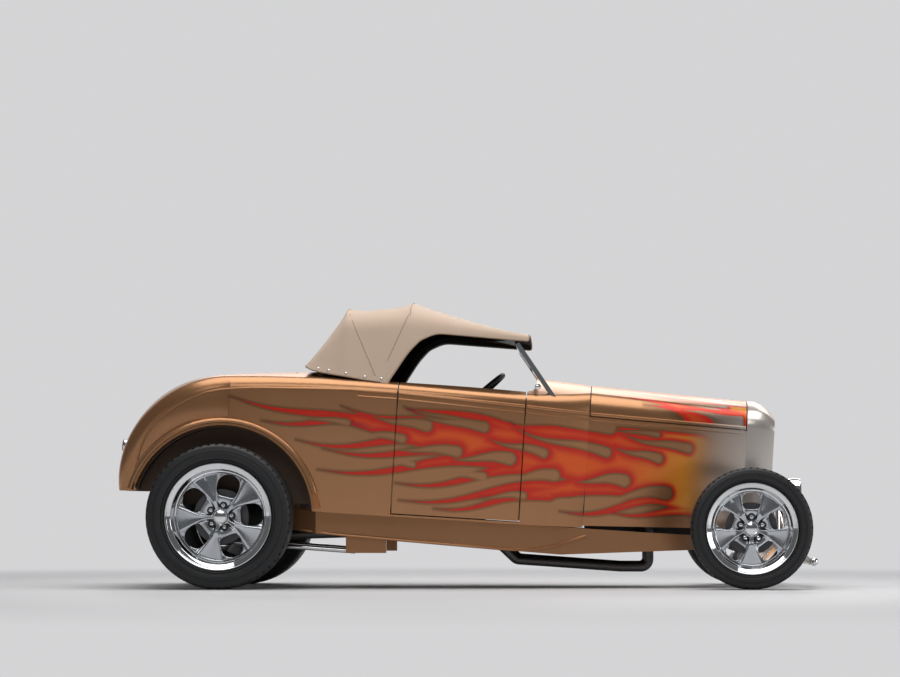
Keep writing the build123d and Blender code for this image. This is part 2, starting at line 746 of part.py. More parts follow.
with BuildPart() as stanchion:
    with BuildSketch(screen_plane):
        with BuildLine():
            Polyline(
                (494, -10),
                (520, -10),
                (506, SCREEN_TOP - 6),
                (463, SCREEN_TOP - 6),
                (479, 96),
                close=True,
            )
        make_face()
    extrude(amount=12, both=True)
high_body = outer_body.moved(Location((0, 0, CLEAR)))
stanchion_left = stanchion.part - high_body
frame_ring = screen_frame.part - high_body
write(Compound(children=[frame_ring, stanchion_left, mirrored(stanchion_left)]), "windscreen_frame")
write(screen_glass.part, "windscreen_glass")

# Fabric top: taut between the header, two bows and the rear hem
Bow = namedtuple("Bow", "x low low_half belt half corner corner_half crown")
BOWS = [
    Bow(330, 1205, 536, 1262, 522, 1296, 468, 1308),
    Bow(-277, 1020, 652, 1330, 575, 1444, 470, 1487),
    Bow(-440, 1020, 664, 1328, 580, 1424, 470, 1457),
    Bow(-609, 1030, 664, 1320, 574, 1420, 466, 1457),
    Bow(-814, 1050, 640, 1110, 582, 1140, 470, 1162),
]


def top_loft(inset):
    """Solid under the fabric top, drawn in by inset."""
    with BuildPart() as solid:
        for row in BOWS:
            spots = [
                (row.low_half - inset, row.low - 2 * inset),
                (row.half - inset, row.belt - 0.4 * inset),
                (row.corner_half - 0.6 * inset, row.corner - 0.9 * inset),
            ]
            with BuildSketch(Plane(origin=(row.x, 0, 0), x_dir=(0, 1, 0), z_dir=(1, 0, 0))):
                with BuildLine():
                    Line((-spots[0][0], spots[0][1]), spots[0])
                    Line(spots[0], spots[1])
                    bend = (
                        (spots[1][0] + spots[2][0]) / 2 + 16,
                        (spots[1][1] + spots[2][1]) / 2 + 16,
                    )
                    ThreePointArc(spots[1], bend, spots[2])
                    ThreePointArc(spots[2], (0, row.crown - inset), (-spots[2][0], spots[2][1]))
                    ThreePointArc(
                        (-spots[2][0], spots[2][1]),
                        (-bend[0], bend[1]),
                        (-spots[1][0], spots[1][1]),
                    )
                    Line((-spots[1][0], spots[1][1]), (-spots[0][0], spots[0][1]))
                make_face()
        loft(ruled=True)
    return solid.part


WINDOW = [
    (-404, 1000),
    (-380, 1064),
    (-287, 1205),
    (-229, 1268),
    (-160, 1300),
    (-122, 1305),
    (340, 1266),
    (420, 1266),
    (420, 1000),
]
RAIL_LINE = [
    (-432, 1010),
    (-408, 1076),
    (-311, 1224),
    (-248, 1291),
    (-168, 1329),
    (-120, 1335),
    (244, 1304),
]
lifted_body = outer_body.moved(Location((0, 0, 0.5)))
top_skin = top_loft(0) - top_loft(CLOTH)
top_skin = top_skin - flat_region(WINDOW, -900, 900) - lifted_body
top_skin = top_skin - block(-860, -400, -600, 600, 900, 1040)
soft_top = max(top_skin.solids(), key=lambda piece: piece.volume)
write(soft_top, "soft_top")
rail_skin = top_loft(CLOTH + 0.5) - top_loft(CLOTH + 22)
rail_band = rail_skin & flat_region(WINDOW[:-3] + [(244, 1274)] + RAIL_LINE[::-1], -900, 900)
door_top = [(DOOR_REAR - 10, 900), (400, 900), (400, 1035), (DOOR_REAR - 10, 1035)]
over_door = side_region(door_top, -900, 900)
write(rail_band - lifted_body - over_door, "top_side_rails")

# Cabin: seat, dashboard, steering column and wheel
SEAT_HALF = 500
cushion_line = [(-340, 356), (90, 356), (104, 540), (84, 562), (-250, 530), (-340, 520)]
back_line = [(-430, 356), (-341, 356), (-341, 534), (-251, 545), (-345, 975), (-375, 990), (-408, 975)]
cushion = side_region(cushion_line, -SEAT_HALF, SEAT_HALF)
back = side_region(back_line, -SEAT_HALF, SEAT_HALF)
write(cushion, "seat_cushion")
write(back, "seat_back")
dash_x = COCKPIT_FRONT - 24
dash_line = [(dash_x, 880), (dash_x + 24, 860), (dash_x + 36, 1060), (dash_x + 12, 1060)]
dash_shape = side_region(dash_line, -900, 900)
write(dash_shape & section_loft(TUB, WALL + CLEAR), "dashboard")

WHEEL_Y = 350
WHEEL_CENTRE = (44, WHEEL_Y, 1008)
WHEEL_TILT = 41
WHEEL_R = 190
tilt = math.radians(WHEEL_TILT)
column_dir = Vector(math.sin(tilt), 0, -math.cos(tilt))
hub = Vector(*WHEEL_CENTRE)
column_start = hub + column_dir * 60
column_end = hub + column_dir * 860
column_stop = FIREWALL - CLEAR
cabin_side = side_region([(-400, 200), (column_stop, 200), (column_stop, 1300), (-400, 1300)], 0, 900)
column = rod(tuple(column_start), tuple(column_end), 24) & cabin_side
write(column, "steering_column")
steer_plane = Plane(origin=WHEEL_CENTRE, x_dir=(0, 1, 0), z_dir=tuple(-column_dir))
with BuildPart() as steering_wheel:
    leaned = (math.cos(tilt), 0, math.sin(tilt))
    with BuildSketch(Plane(origin=WHEEL_CENTRE, x_dir=(0, 1, 0), z_dir=leaned)):
        with Locations((WHEEL_R - 14, 0)):
            Circle(14)
    revolve(axis=Axis(WHEEL_CENTRE, tuple(-column_dir)), revolution_arc=360)
    with BuildSketch(steer_plane):
        Circle(34)
        for angle in (90, 210, 330):
            with Locations(Location((0, 0, 0), (0, 0, angle))):
                with Locations((WHEEL_R / 2 - 10, 0)):
                    Rectangle(WHEEL_R - 20, 22)
    extrude(amount=4, both=True)
    with BuildSketch(steer_plane):
        Circle(18)
    extrude(amount=-60 + CLEAR)
write(steering_wheel.part, "steering_wheel")

# Lamps
with BuildPart() as headlamp:
    with BuildSketch(Plane(origin=(1600, 352, 490), x_dir=(0, 1, 0), z_dir=(1, 0, 0))):
        Circle(26)
    with BuildSketch(Plane(origin=(1650, 352, 490), x_dir=(0, 1, 0), z_dir=(1, 0, 0))):
        Circle(68)
    with BuildSketch(Plane(origin=(1712, 352, 490), x_dir=(0, 1, 0), z_dir=(1, 0, 0))):
        Circle(75)
    loft()
stalk = rod((1646, 352, 460), (1646, 312, 240), 12)
lamp_shell = headlamp.part + stalk - rail_left.part.moved(Location((0, 0, CLEAR)))
lamp_shell = max(lamp_shell.solids(), key=lambda piece: piece.volume)
with BuildPart() as lens:
    with BuildSketch(Plane(origin=(1712, 352, 490), x_dir=(0, 1, 0), z_dir=(1, 0, 0))):
        Circle(68)
    extrude(amount=10)
write(Compound(children=[lamp_shell, mirrored(lamp_shell)]), "headlamps")
write(Compound(children=[lens.part, mirrored(lens.part)]), "headlamp_lenses")

lamp_at = (-1690, 400, 727)
with BuildPart() as tail_lamp:
    with BuildSketch(Plane(origin=lamp_at, x_dir=(0, 1, 0), z_dir=(-1, 0, 0.12))):
        Circle(28)
    extrude(amount=84)
lamp_left = tail_lamp.part - outer_body.moved(Location((-CLEAR, 0, 0)))
lamp_left = max(lamp_left.solids(), key=lambda piece: piece.center().X * -1)
write(Compound(children=[lamp_left, mirrored(lamp_left)]), "tail_lamps")

# Wheels, tyres and brake discs
Wheel = namedtuple("Wheel", "end x track tyre_r tyre_w lip seat barrel half pad disc_r bore turn")
WHEELS = [
    Wheel(
        "front", FRONT_AXLE_X, FRONT_TRACK, FRONT_TYRE_R, FRONT_TYRE_W,
        233, 216, 204, 88, FRONT_PAD, 132, SPINDLE_R, 90,
    ),
    Wheel(
        "rear", REAR_AXLE_X, REAR_TRACK, REAR_TYRE_R, REAR_TYRE_W,
        272, 254, 240, 126, REAR_PAD, 140, HUB_SHAFT_R, 75.6,
    ),
]
Hole = namedtuple("Hole", "inner outer width")
HOLES = {"front": Hole(101, 182, 96), "rear": Hole(107, 216, 124)}
for row in WHEELS:
    hole = HOLES[row.end]
    for name, side in (("left", 1), ("right", -1)):
        middle = side * row.track / 2
        centre = (row.x, middle, row.tyre_r)
        spin = Axis(centre, (0, 1, 0))
        crown = row.tyre_w / 2
        bead = (row.lip + 1.5, row.half - 10.8)
        bulge = (row.lip + 0.45 * (row.tyre_r - 14 - row.lip), crown - 1)
        with BuildPart() as tyre:
            with BuildSketch(Plane(origin=centre)):
                with BuildLine():
                    Line((row.seat + CLEAR, 18 - row.half), (row.seat + CLEAR, row.half - 18))
                    Line((row.seat + CLEAR, row.half - 18), bead)
                    ThreePointArc(bead, bulge, (row.tyre_r - 14, crown - 8))
                    Line((row.tyre_r - 14, crown - 8), (row.tyre_r, crown - 30))
                    Line((row.tyre_r, crown - 30), (row.tyre_r, 30 - crown))
                    Line((row.tyre_r, 30 - crown), (row.tyre_r - 14, 8 - crown))
                    ThreePointArc(
                        (row.tyre_r - 14, 8 - crown),
                        (bulge[0], -bulge[1]),
                        (bead[0], -bead[1]),
                    )
                    Line((bead[0], -bead[1]), (row.seat + CLEAR, 18 - row.half))
                make_face()
            revolve(axis=spin, revolution_arc=360)
        write(tyre.part, f"tyre_{row.end}_{name}")
        pad = row.pad - row.track / 2
        profile = [
            (0, pad),
            (74, pad),
            (row.barrel, pad + 2),
            (row.barrel, 4 - row.half),
            (row.lip, -row.half),
            (row.lip, 10 - row.half),
            (row.seat, 17 - row.half),
            (row.seat, row.half - 17),
            (row.lip, row.half - 10),
            (row.lip, row.half),
            (row.barrel, row.half - 16),
            (row.barrel, pad + 26),
            (80, pad + 34),
            (60, pad + 26),
            (38, pad + 28),
            (30, pad + 44),
            (0, pad + 46),
        ]
        with BuildPart() as wheel:
            with BuildSketch(Plane(origin=centre)):
                with BuildLine():
                    Polyline(*[(radius, side * out) for radius, out in profile], close=True)
                make_face()
            revolve(axis=spin, revolution_arc=360)
            for index in range(5):
                turn = math.radians(row.turn + 72 * index)
                spread = math.asin(hole.width / 2 / hole.outer)
                mouth = hole.inner + 0.42 * hole.width
                spots = {}
                for mark, radius, angle in (
                    ("out_a", hole.outer, turn - spread),
                    ("out", hole.outer, turn),
                    ("out_b", hole.outer, turn + spread),
                    ("in_b", mouth, turn + spread * 1.12),
                    ("in", hole.inner, turn),
                    ("in_a", mouth, turn - spread * 1.12),
                ):
                    spots[mark] = (radius * math.cos(angle), radius * math.sin(angle))
                with BuildSketch(Plane(origin=centre, x_dir=(1, 0, 0), z_dir=(0, -1, 0))):
                    with BuildLine():
                        ThreePointArc(spots["out_a"], spots["out"], spots["out_b"])
                        Line(spots["out_b"], spots["in_b"])
                        ThreePointArc(spots["in_b"], spots["in"], spots["in_a"])
                        Line(spots["in_a"], spots["out_a"])
                    make_face()
                    fillet(vertices(), 0.2 * hole.width)
                extrude(amount=crown, both=True, mode=Mode.SUBTRACT)
        write(wheel.part, f"wheel_{row.end}_{name}")
        disc_at = (row.x, side * (row.pad - 32), row.tyre_r)
        disc_plane = Plane(origin=disc_at, z_dir=(0, side, 0))
        with BuildPart() as disc:
            with BuildSketch(disc_plane):
                Circle(row.disc_r)
                Circle(row.bore + RUN_FIT, mode=Mode.SUBTRACT)
            extrude(amount=18)
            with BuildSketch(disc_plane):
                Circle(72)
                Circle(row.bore + RUN_FIT, mode=Mode.SUBTRACT)
            extrude(amount=32)
        write(disc.part, f"brake_disc_{row.end}_{name}")
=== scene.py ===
"""Street rod roadster: paint, wheels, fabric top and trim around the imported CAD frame.

Metres. X points forward, Y to the car's left, Z up. The body leans nose down, so paint and
mouldings are laid out in the raked frame: xb along the body, zb square to it.
"""

import json
import math

import bpy
from mathutils import Matrix, Vector

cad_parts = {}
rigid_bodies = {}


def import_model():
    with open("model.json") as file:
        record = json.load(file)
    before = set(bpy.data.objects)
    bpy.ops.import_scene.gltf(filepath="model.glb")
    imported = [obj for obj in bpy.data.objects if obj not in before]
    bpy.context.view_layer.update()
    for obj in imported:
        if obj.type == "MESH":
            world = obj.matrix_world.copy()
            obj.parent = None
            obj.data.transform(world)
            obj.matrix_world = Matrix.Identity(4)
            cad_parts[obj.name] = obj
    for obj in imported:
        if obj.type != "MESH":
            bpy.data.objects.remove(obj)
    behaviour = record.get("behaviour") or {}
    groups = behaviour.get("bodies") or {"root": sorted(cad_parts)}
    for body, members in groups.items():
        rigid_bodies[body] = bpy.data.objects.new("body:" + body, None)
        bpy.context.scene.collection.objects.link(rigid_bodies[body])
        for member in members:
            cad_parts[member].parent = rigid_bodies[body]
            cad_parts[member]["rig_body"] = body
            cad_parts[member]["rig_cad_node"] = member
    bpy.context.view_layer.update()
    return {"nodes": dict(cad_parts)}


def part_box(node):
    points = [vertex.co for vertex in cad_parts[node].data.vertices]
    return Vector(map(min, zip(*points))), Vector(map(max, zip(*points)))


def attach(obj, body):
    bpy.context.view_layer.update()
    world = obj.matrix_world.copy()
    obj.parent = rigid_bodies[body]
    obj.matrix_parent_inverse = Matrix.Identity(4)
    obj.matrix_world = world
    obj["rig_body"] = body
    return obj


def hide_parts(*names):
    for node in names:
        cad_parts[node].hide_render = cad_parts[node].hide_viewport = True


bl_info = {
    "name": "Street rod roadster",
    "version": (1, 0, 0),
    "blender": (4, 5, 0),
    "location": "View3D > Sidebar > Roadster",
    "description": "Paint, wheels, fabric top and trim for the roadster frame",
    "category": "Object",
}

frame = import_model()
NODES = frame["nodes"]

RAKE = math.radians(3.6)
SIDES = (("right", -1), ("left", 1))

# Wheel sizes by end of the car
WHEEL_SIZES = {
    "front": {
        "tyre": 0.308, "width": 0.205, "lip": 0.233, "seat": 0.216, "barrel": 0.204, "half": 0.088,
        "pad": -0.018, "window": (0.095, 0.185, 0.106), "turn": math.radians(90),
    },
    "rear": {
        "tyre": 0.368, "width": 0.288, "lip": 0.272, "seat": 0.254, "barrel": 0.240, "half": 0.126,
        "pad": -0.036, "window": (0.101, 0.219, 0.130), "turn": math.radians(75.6),
    },
}

# Flame strokes in the raked side view: head x, head z, tip x, tip z, width, bow, swirl
SIDE_LICKS = [
    (1.14, 0.66, -0.80, 0.845, 0.205, -0.012, 0.020),
    (-0.54, 0.818, -1.25, 0.905, 0.027, -0.016, 0.010),
    (1.06, 0.82, 0.62, 0.890, 0.034, -0.020, 0.010),
    (1.02, 0.77, 0.60, 0.855, 0.036, -0.020, 0.012),
    (0.70, 0.74, 0.18, 0.860, 0.036, -0.012, 0.018),
    (0.28, 0.78, -0.36, 0.905, 0.034, -0.014, 0.016),
    (0.22, 0.815, -0.34, 0.894, 0.030, 0.030, 0.004),
    (-0.08, 0.81, -0.68, 0.890, 0.030, -0.010, 0.014),
    (-0.46, 0.795, -1.08, 0.790, 0.030, 0.012, 0.018),
    (-0.12, 0.735, -0.90, 0.705, 0.032, -0.010, 0.024),
    (-0.02, 0.700, -0.76, 0.668, 0.030, -0.020, 0.016),
    (0.12, 0.660, -0.78, 0.560, 0.036, -0.012, 0.022),
    (0.36, 0.640, -0.38, 0.516, 0.036, -0.014, 0.022),
    (0.92, 0.600, 0.02, 0.468, 0.084, 0.006, 0.014),
    (0.50, 0.540, -0.36, 0.430, 0.034, 0.006, 0.026),
    (0.40, 0.505, -0.18, 0.398, 0.030, -0.004, 0.018),
    (1.12, 0.53, 0.46, 0.425, 0.040, -0.004, 0.026),
    (1.18, 0.47, 0.70, 0.440, 0.026, -0.014, 0.012),
]
SIDE_DROPS = [
    (0.94, 0.850, 0.68, 0.868, 0.019, -0.004, 0.004),
    (1.10, 0.790, 0.76, 0.842, 0.029, -0.012, 0.008),
    (0.95, 0.728, 0.72, 0.770, 0.029, -0.004, 0.006),
    (0.68, 0.742, 0.20, 0.838, 0.031, -0.014, 0.012),
    (0.36, 0.716, 0.08, 0.772, 0.029, -0.004, 0.008),
    (0.78, 0.602, 0.54, 0.580, 0.037, 0.010, 0.006),
    (1.00, 0.552, 0.66, 0.492, 0.039, 0.010, 0.010),
    (0.42, 0.606, 0.14, 0.556, 0.035, 0.008, 0.008),
    (0.19, 0.676, -0.10, 0.652, 0.037, 0.008, 0.006),
    (0.06, 0.574, -0.20, 0.570, 0.028, 0.006, 0.006),
    (0.27, 0.492, 0.04, 0.466, 0.024, 0.004, 0.006),
    (0.05, 0.828, -0.30, 0.874, 0.032, -0.008, 0.006),
    (0.69, 0.872, 0.06, 0.905, 0.040, -0.004, 0.002),
    (-0.24, 0.816, -0.52, 0.850, 0.034, -0.006, 0.006),
    (-0.36, 0.742, -0.68, 0.752, 0.027, 0.004, 0.008),
    (-0.08, 0.694, -0.40, 0.688, 0.033, 0.004, 0.006),
    (-0.30, 0.616, -0.54, 0.618, 0.022, 0.000, 0.006),
    (-0.645, 0.806, -0.92, 0.824, 0.022, 0.000, 0.004),
]
# The same on the hood, where z is the distance from the centre line
TOP_LICKS = [
    (1.50, 0.00, 0.90, 0.030, 0.062, 0.010, 0.016),
    (1.50, 0.10, 0.72, 0.150, 0.046, 0.010, -0.014),
    (1.50, 0.18, 0.62, 0.270, 0.042, 0.012, 0.014),
    (1.48, 0.235, 0.60, 0.385, 0.036, 0.010, 0.012),
    (1.46, 0.275, 0.86, 0.375, 0.026, 0.004, 0.010),
]
TOP_DROPS = [
    (1.30, 0.050, 0.98, 0.075, 0.022, 0.004, 0.006),
    (1.26, 0.140, 0.84, 0.190, 0.024, 0.004, -0.006),
    (1.28, 0.222, 0.90, 0.300, 0.020, 0.000, 0.006),
    (1.37, 0.268, 1.06, 0.330, 0.014, 0.000, 0.003),
]
LICK_BLEND = 0.022
DROP_BLEND = 0.008

# Paint: where along the body one colour gives way to the next, and how metallic it is
NOSE_FADE = (1.05, 1.50)
SIDE_FLAME_END = (1.06, 1.26)
HOOD_FLAME_END = (1.40, 1.44)
FRONT_FADE = (0.72, 1.22)
FLAME_SHADE = (0.045, 0.026, 0.010)
PAINT_METALLIC = 0.78
FLAME_METALLIC = 0.30
PAINT_COAT = 0.16
PAINT_TINT = (0.96, 0.84, 0.75)

# Stage: lamp, place, aim, width, depth, share of the key light
LAMPS = [
    ("overhead", (0.0, -0.7, 4.8), (0, -0.7, 0), 6.5, 4.6, 1.4),
    ("near_fill", (-1.0, -6.5, 5.0), (0, 0, 0.4), 6.0, 2.0, 0.50),
    ("front_fill", (7.5, -1.8, 1.9), (1.5, 0, 0.6), 3.2, 2.2, 0.60),
    ("far_rim", (0.5, 5.0, 3.6), (0, 0, 0.7), 6.0, 2.0, 0.5),
]
CAMERA_PLACE = (0.591, -18.86, 0.392)
CAMERA_AIM = (-0.03631, 1, 0.04846)
FLOOR_SIZE = 60
BACKDROP_HEIGHT = 24
GLOW_RADIUS = (2.8, 7.0)
GLOW_HEIGHT = (0.0, 1.5)


# Settings that a user can change


def colour_prop(label, value, note):
    """A colour that a user can change."""
    return bpy.props.FloatVectorProperty(
        name=label, description=note, subtype="COLOR", size=3, min=0, max=1, default=value
    )


class ROADSTER_PG_paint(bpy.types.PropertyGroup):
    """Body colours."""

    bronze: colour_prop("Bronze", (0.42, 0.208, 0.098), "Metallic colour of the body")
    silver: colour_prop("Champagne", (0.70, 0.645, 0.600), "Nose colour that the bronze fades to")
    red: colour_prop("Flame edge", (0.60, 0.020, 0.010), "Colour along the edge of each flame")
    orange: colour_prop("Flame core", (0.76, 0.105, 0.016), "Colour inside the flames")
    yellow: colour_prop("Flame front", (0.72, 0.300, 0.035), "Colour of the flames near the nose")
    tip: colour_prop("Flame tip", (0.075, 0.008, 0.045), "Colour of the thin tips")


class ROADSTER_PG_top(bpy.types.PropertyGroup):
    """Fabric top."""

    canvas: colour_prop("Canvas", (0.47, 0.352, 0.268), "Colour of the fabric top")
    cloth: bpy.props.FloatProperty(
        name="Cloth", description="Thickness of the fabric", default=0.004, min=0.001, unit="LENGTH"
    )
    sag: bpy.props.FloatProperty(
        name="Sag", description="Dip of the fabric between two bows", default=0.007, min=0, unit="LENGTH"
    )


class ROADSTER_PG_wheels(bpy.types.PropertyGroup):
    """Wheels and tyres."""

    tread: bpy.props.FloatProperty(
        name="Tread depth", description="Depth of the grooves", default=0.007, min=0, unit="LENGTH"
    )
    steps: bpy.props.IntProperty(
        name="Tyre steps", description="Divisions around a tyre", default=168, min=48
    )


class ROADSTER_PG_stage(bpy.types.PropertyGroup):
    """Floor, light and camera."""

    floor: colour_prop("Floor", (0.66, 0.66, 0.67), "Colour of the floor and backdrop")
    lens: bpy.props.FloatProperty(
        name="Lens", description="Focal length of the camera", default=143.2, min=20, unit="CAMERA"
    )
    key: bpy.props.FloatProperty(
        name="Key light", description="Power of the overhead lamp", default=190, min=0, unit="POWER"
    )


# Shader wiring


class Wiring:
    """Adds nodes to a shader tree and joins them."""

    def __init__(self, tree):
        self.tree = tree

    def put(self, value, socket):
        """Link a socket, or set its value."""
        if isinstance(value, bpy.types.NodeSocket):
            self.tree.links.new(value, socket)
        else:
            socket.default_value = value

    def math(self, operation, first, second=None, third=None, clamp=False):
        """One math node."""
        node = self.tree.nodes.new("ShaderNodeMath")
        node.operation = operation
        node.use_clamp = clamp
        for value, socket in zip((first, second, third), node.inputs):
            if value is not None:
                self.put(value, socket)
        return node.outputs[0]

    def mix(self, factor, first, second):
        """Mix of two colours."""
        node = self.tree.nodes.new("ShaderNodeMix")
        node.data_type = "RGBA"
        self.put(factor, node.inputs[0])
        self.put(first, node.inputs[6])
        self.put(second, node.inputs[7])
        return node.outputs[2]

    def ramp(self, value, low, high):
        """Smooth step from 0 at low to 1 at high."""
        node = self.tree.nodes.new("ShaderNodeMapRange")
        node.interpolation_type = "SMOOTHSTEP"
        self.put(value, node.inputs[0])
        self.put(low, node.inputs[1])
        self.put(high, node.inputs[2])
        return node.outputs[0]

    def noise(self, vector, scale, detail=3.0):
        """Noise value."""
        node = self.tree.nodes.new("ShaderNodeTexNoise")
        self.put(vector, node.inputs["Vector"])
        node.inputs["Scale"].default_value = scale
        node.inputs["Detail"].default_value = detail
        return node.outputs["Fac"]

    def group(self, tree, values):
        """Place a node group with its values."""
        node = self.tree.nodes.new("ShaderNodeGroup")
        node.node_tree = tree
        for label, value in values.items():
            self.put(value, node.inputs[label])
        return node.outputs

    def coords(self):
        """Object coordinates, which are the car's own frame."""
        return self.tree.nodes.new("ShaderNodeTexCoord").outputs["Object"]

    def split(self, vector):
        """X, Y and Z of a vector."""
        node = self.tree.nodes.new("ShaderNodeSeparateXYZ")
        self.put(vector, node.inputs[0])
        return node.outputs

    def raked(self, vector):
        """Vector turned into the raked frame of the body."""
        node = self.tree.nodes.new("ShaderNodeMapping")
        self.put(vector, node.inputs["Vector"])
        node.inputs["Rotation"].default_value = (0, -RAKE, 0)
        return node.outputs[0]


def shader_group(name, inputs, outputs):
    """Empty shader group with named sockets."""
    tree = bpy.data.node_groups.new(name, "ShaderNodeTree")
    for label, kind in inputs:
        tree.interface.new_socket(label, in_out="INPUT", socket_type=kind)
    for label, kind in outputs:
        tree.interface.new_socket(label, in_out="OUTPUT", socket_type=kind)
    start = tree.nodes.new("NodeGroupInput")
    end = tree.nodes.new("NodeGroupOutput")
    return tree, start.outputs, end.inputs


FLOAT = "NodeSocketFloat"
COLOUR = "NodeSocketColor"
VECTOR = "NodeSocketVector"


def flame_stroke_group():
    """One painted stroke: round head, tapering tail. Distance is positive inside."""
    names = ["X", "Z", "Head X", "Head Z", "Tip X", "Tip Z", "Width", "Bow", "Swirl", "Taper"]
    tree, got, out = shader_group(
        "flame_stroke", [(n, FLOAT) for n in names], [("Distance", FLOAT), ("Along", FLOAT)]
    )
    w = Wiring(tree)
    back = w.math("SUBTRACT", got["Head X"], got["X"])
    length = w.math("SUBTRACT", got["Head X"], got["Tip X"])
    along = w.math("DIVIDE", back, length, clamp=True)
    line = w.math("MULTIPLY_ADD", along, w.math("SUBTRACT", got["Tip Z"], got["Head Z"]), got["Head Z"])
    half_turn = w.math("SINE", w.math("MULTIPLY", along, math.pi))
    line = w.math("MULTIPLY_ADD", half_turn, got["Bow"], line)
    full_turn = w.math("SINE", w.math("MULTIPLY", along, math.tau))
    line = w.math("MULTIPLY_ADD", full_turn, got["Swirl"], line)
    off = w.math("SUBTRACT", got["Z"], line)
    ahead = w.math("MAXIMUM", w.math("SUBTRACT", got["X"], got["Head X"]), 0.0)
    behind = w.math("MAXIMUM", w.math("SUBTRACT", got["Tip X"], got["X"]), 0.0)
    square = w.math("MULTIPLY_ADD", off, off, w.math("MULTIPLY", ahead, ahead))
    square = w.math("MULTIPLY_ADD", behind, behind, square)
    taper = w.math("POWER", w.math("SUBTRACT", 1.0, along), got["Taper"])
    width = w.math("MULTIPLY", got["Width"], taper)
    w.put(w.math("SUBTRACT", width, w.math("SQRT", square)), out["Distance"])
    w.put(along, out["Along"])
    return tree


def flame_field_group(name, licks, drops, stroke):
    """Licks joined softly, with teardrops taken out of the forks."""
    tree, got, out = shader_group(
        name, [("X", FLOAT), ("Z", FLOAT)], [("Distance", FLOAT), ("Tip", FLOAT)]
    )
    w = Wiring(tree)
    labels = ["Head X", "Head Z", "Tip X", "Tip Z", "Width", "Bow", "Swirl"]

    def placed(row, taper):
        values = {"X": got["X"], "Z": got["Z"], "Taper": taper}
        values.update(zip(labels, row))
        return w.group(stroke, values)

    field, tip = placed(licks[0], 1.0)
    for row in licks[1:]:
        distance, along = placed(row, 1.05)
        nearer = w.math("GREATER_THAN", distance, field)
        step = w.math("SUBTRACT", along, tip)
        tip = w.math("MULTIPLY_ADD", nearer, step, tip)
        field = w.math("SMOOTH_MAX", field, distance, LICK_BLEND)
    for row in drops:
        distance = placed(row, 0.85)[0]
        field = w.math("SMOOTH_MIN", field, w.math("MULTIPLY", distance, -1.0), DROP_BLEND)
    w.put(field, out["Distance"])
    w.put(tip, out["Tip"])
    return tree


def grain_group():
    """Fine variation of colour, roughness and height for any finish."""
    tree, got, out = shader_group(
        "surface_grain",
        [("Vector", VECTOR), ("Colour", COLOUR), ("Scale", FLOAT), ("Variation", FLOAT),
         ("Roughness", FLOAT), ("Spread", FLOAT)],
        [("Colour", COLOUR), ("Roughness", FLOAT), ("Height", FLOAT)],
    )
    w = Wiring(tree)
    fine = tree.nodes.new("ShaderNodeTexNoise")
    w.put(got["Vector"], fine.inputs["Vector"])
    w.put(got["Scale"], fine.inputs["Scale"])
    fine.inputs["Detail"].default_value = 4.0
    broad = w.noise(got["Vector"], 5.0, 2.0)
    both = w.math("MULTIPLY_ADD", fine.outputs["Fac"], 0.6, w.math("MULTIPLY", broad, 0.4))
    centred = w.math("SUBTRACT", both, 0.5)
    gain = w.math("MULTIPLY_ADD", centred, got["Variation"], 1.0)
    scaled = tree.nodes.new("ShaderNodeVectorMath")
    scaled.operation = "SCALE"
    w.put(got["Colour"], scaled.inputs[0])
    w.put(gain, scaled.inputs["Scale"])
    w.put(scaled.outputs[0], out["Colour"])
    w.put(w.math("MULTIPLY_ADD", centred, got["Spread"], got["Roughness"]), out["Roughness"])
    w.put(fine.outputs["Fac"], out["Height"])
    return tree


GROUPS = {}
FLAMES = {"flame_paint": "side_flames", "hood_paint": "top_flames"}


def shared(name):
    """Shader groups that several finishes use, each built once."""
    if name not in GROUPS:
        if name == "grain":
            GROUPS[name] = grain_group()
        elif name == "stroke":
            GROUPS[name] = flame_stroke_group()
        elif name == "side_flames":
            GROUPS[name] = flame_field_group(name, SIDE_LICKS, SIDE_DROPS, shared("stroke"))
        else:
            GROUPS[name] = flame_field_group(name, TOP_LICKS, TOP_DROPS, shared("stroke"))
    return GROUPS[name]


def new_finish(name, metallic=0.0, coat=0.0):
    """Empty material with a shader of its own."""
    material = bpy.data.materials.new(name)
    material.use_nodes = True
    shader = material.node_tree.nodes["Principled BSDF"]
    shader.inputs["Metallic"].default_value = metallic
    shader.inputs["Coat Weight"].default_value = coat
    shader.inputs["Coat Roughness"].default_value = 0.08
    return material, shader, Wiring(material.node_tree)


def grained(shader, w, colour, roughness, scale, variation, spread, depth):
    """Run a colour through the shared grain into a shader."""
    values = {
        "Vector": w.coords(), "Colour": colour, "Scale": scale,
        "Variation": variation, "Roughness": roughness, "Spread": spread,
    }
    grain = w.group(shared("grain"), values)
    w.put(grain["Colour"], shader.inputs["Base Color"])
    w.put(grain["Roughness"], shader.inputs["Roughness"])
    if depth:
        bump = w.tree.nodes.new("ShaderNodeBump")
        bump.inputs["Strength"].default_value = 0.5
        bump.inputs["Distance"].default_value = depth
        w.put(grain["Height"], bump.inputs["Height"])
        w.put(bump.outputs[0], shader.inputs["Normal"])


def rgba(colour):
    """Colour with full alpha."""
    return (*colour, 1.0)


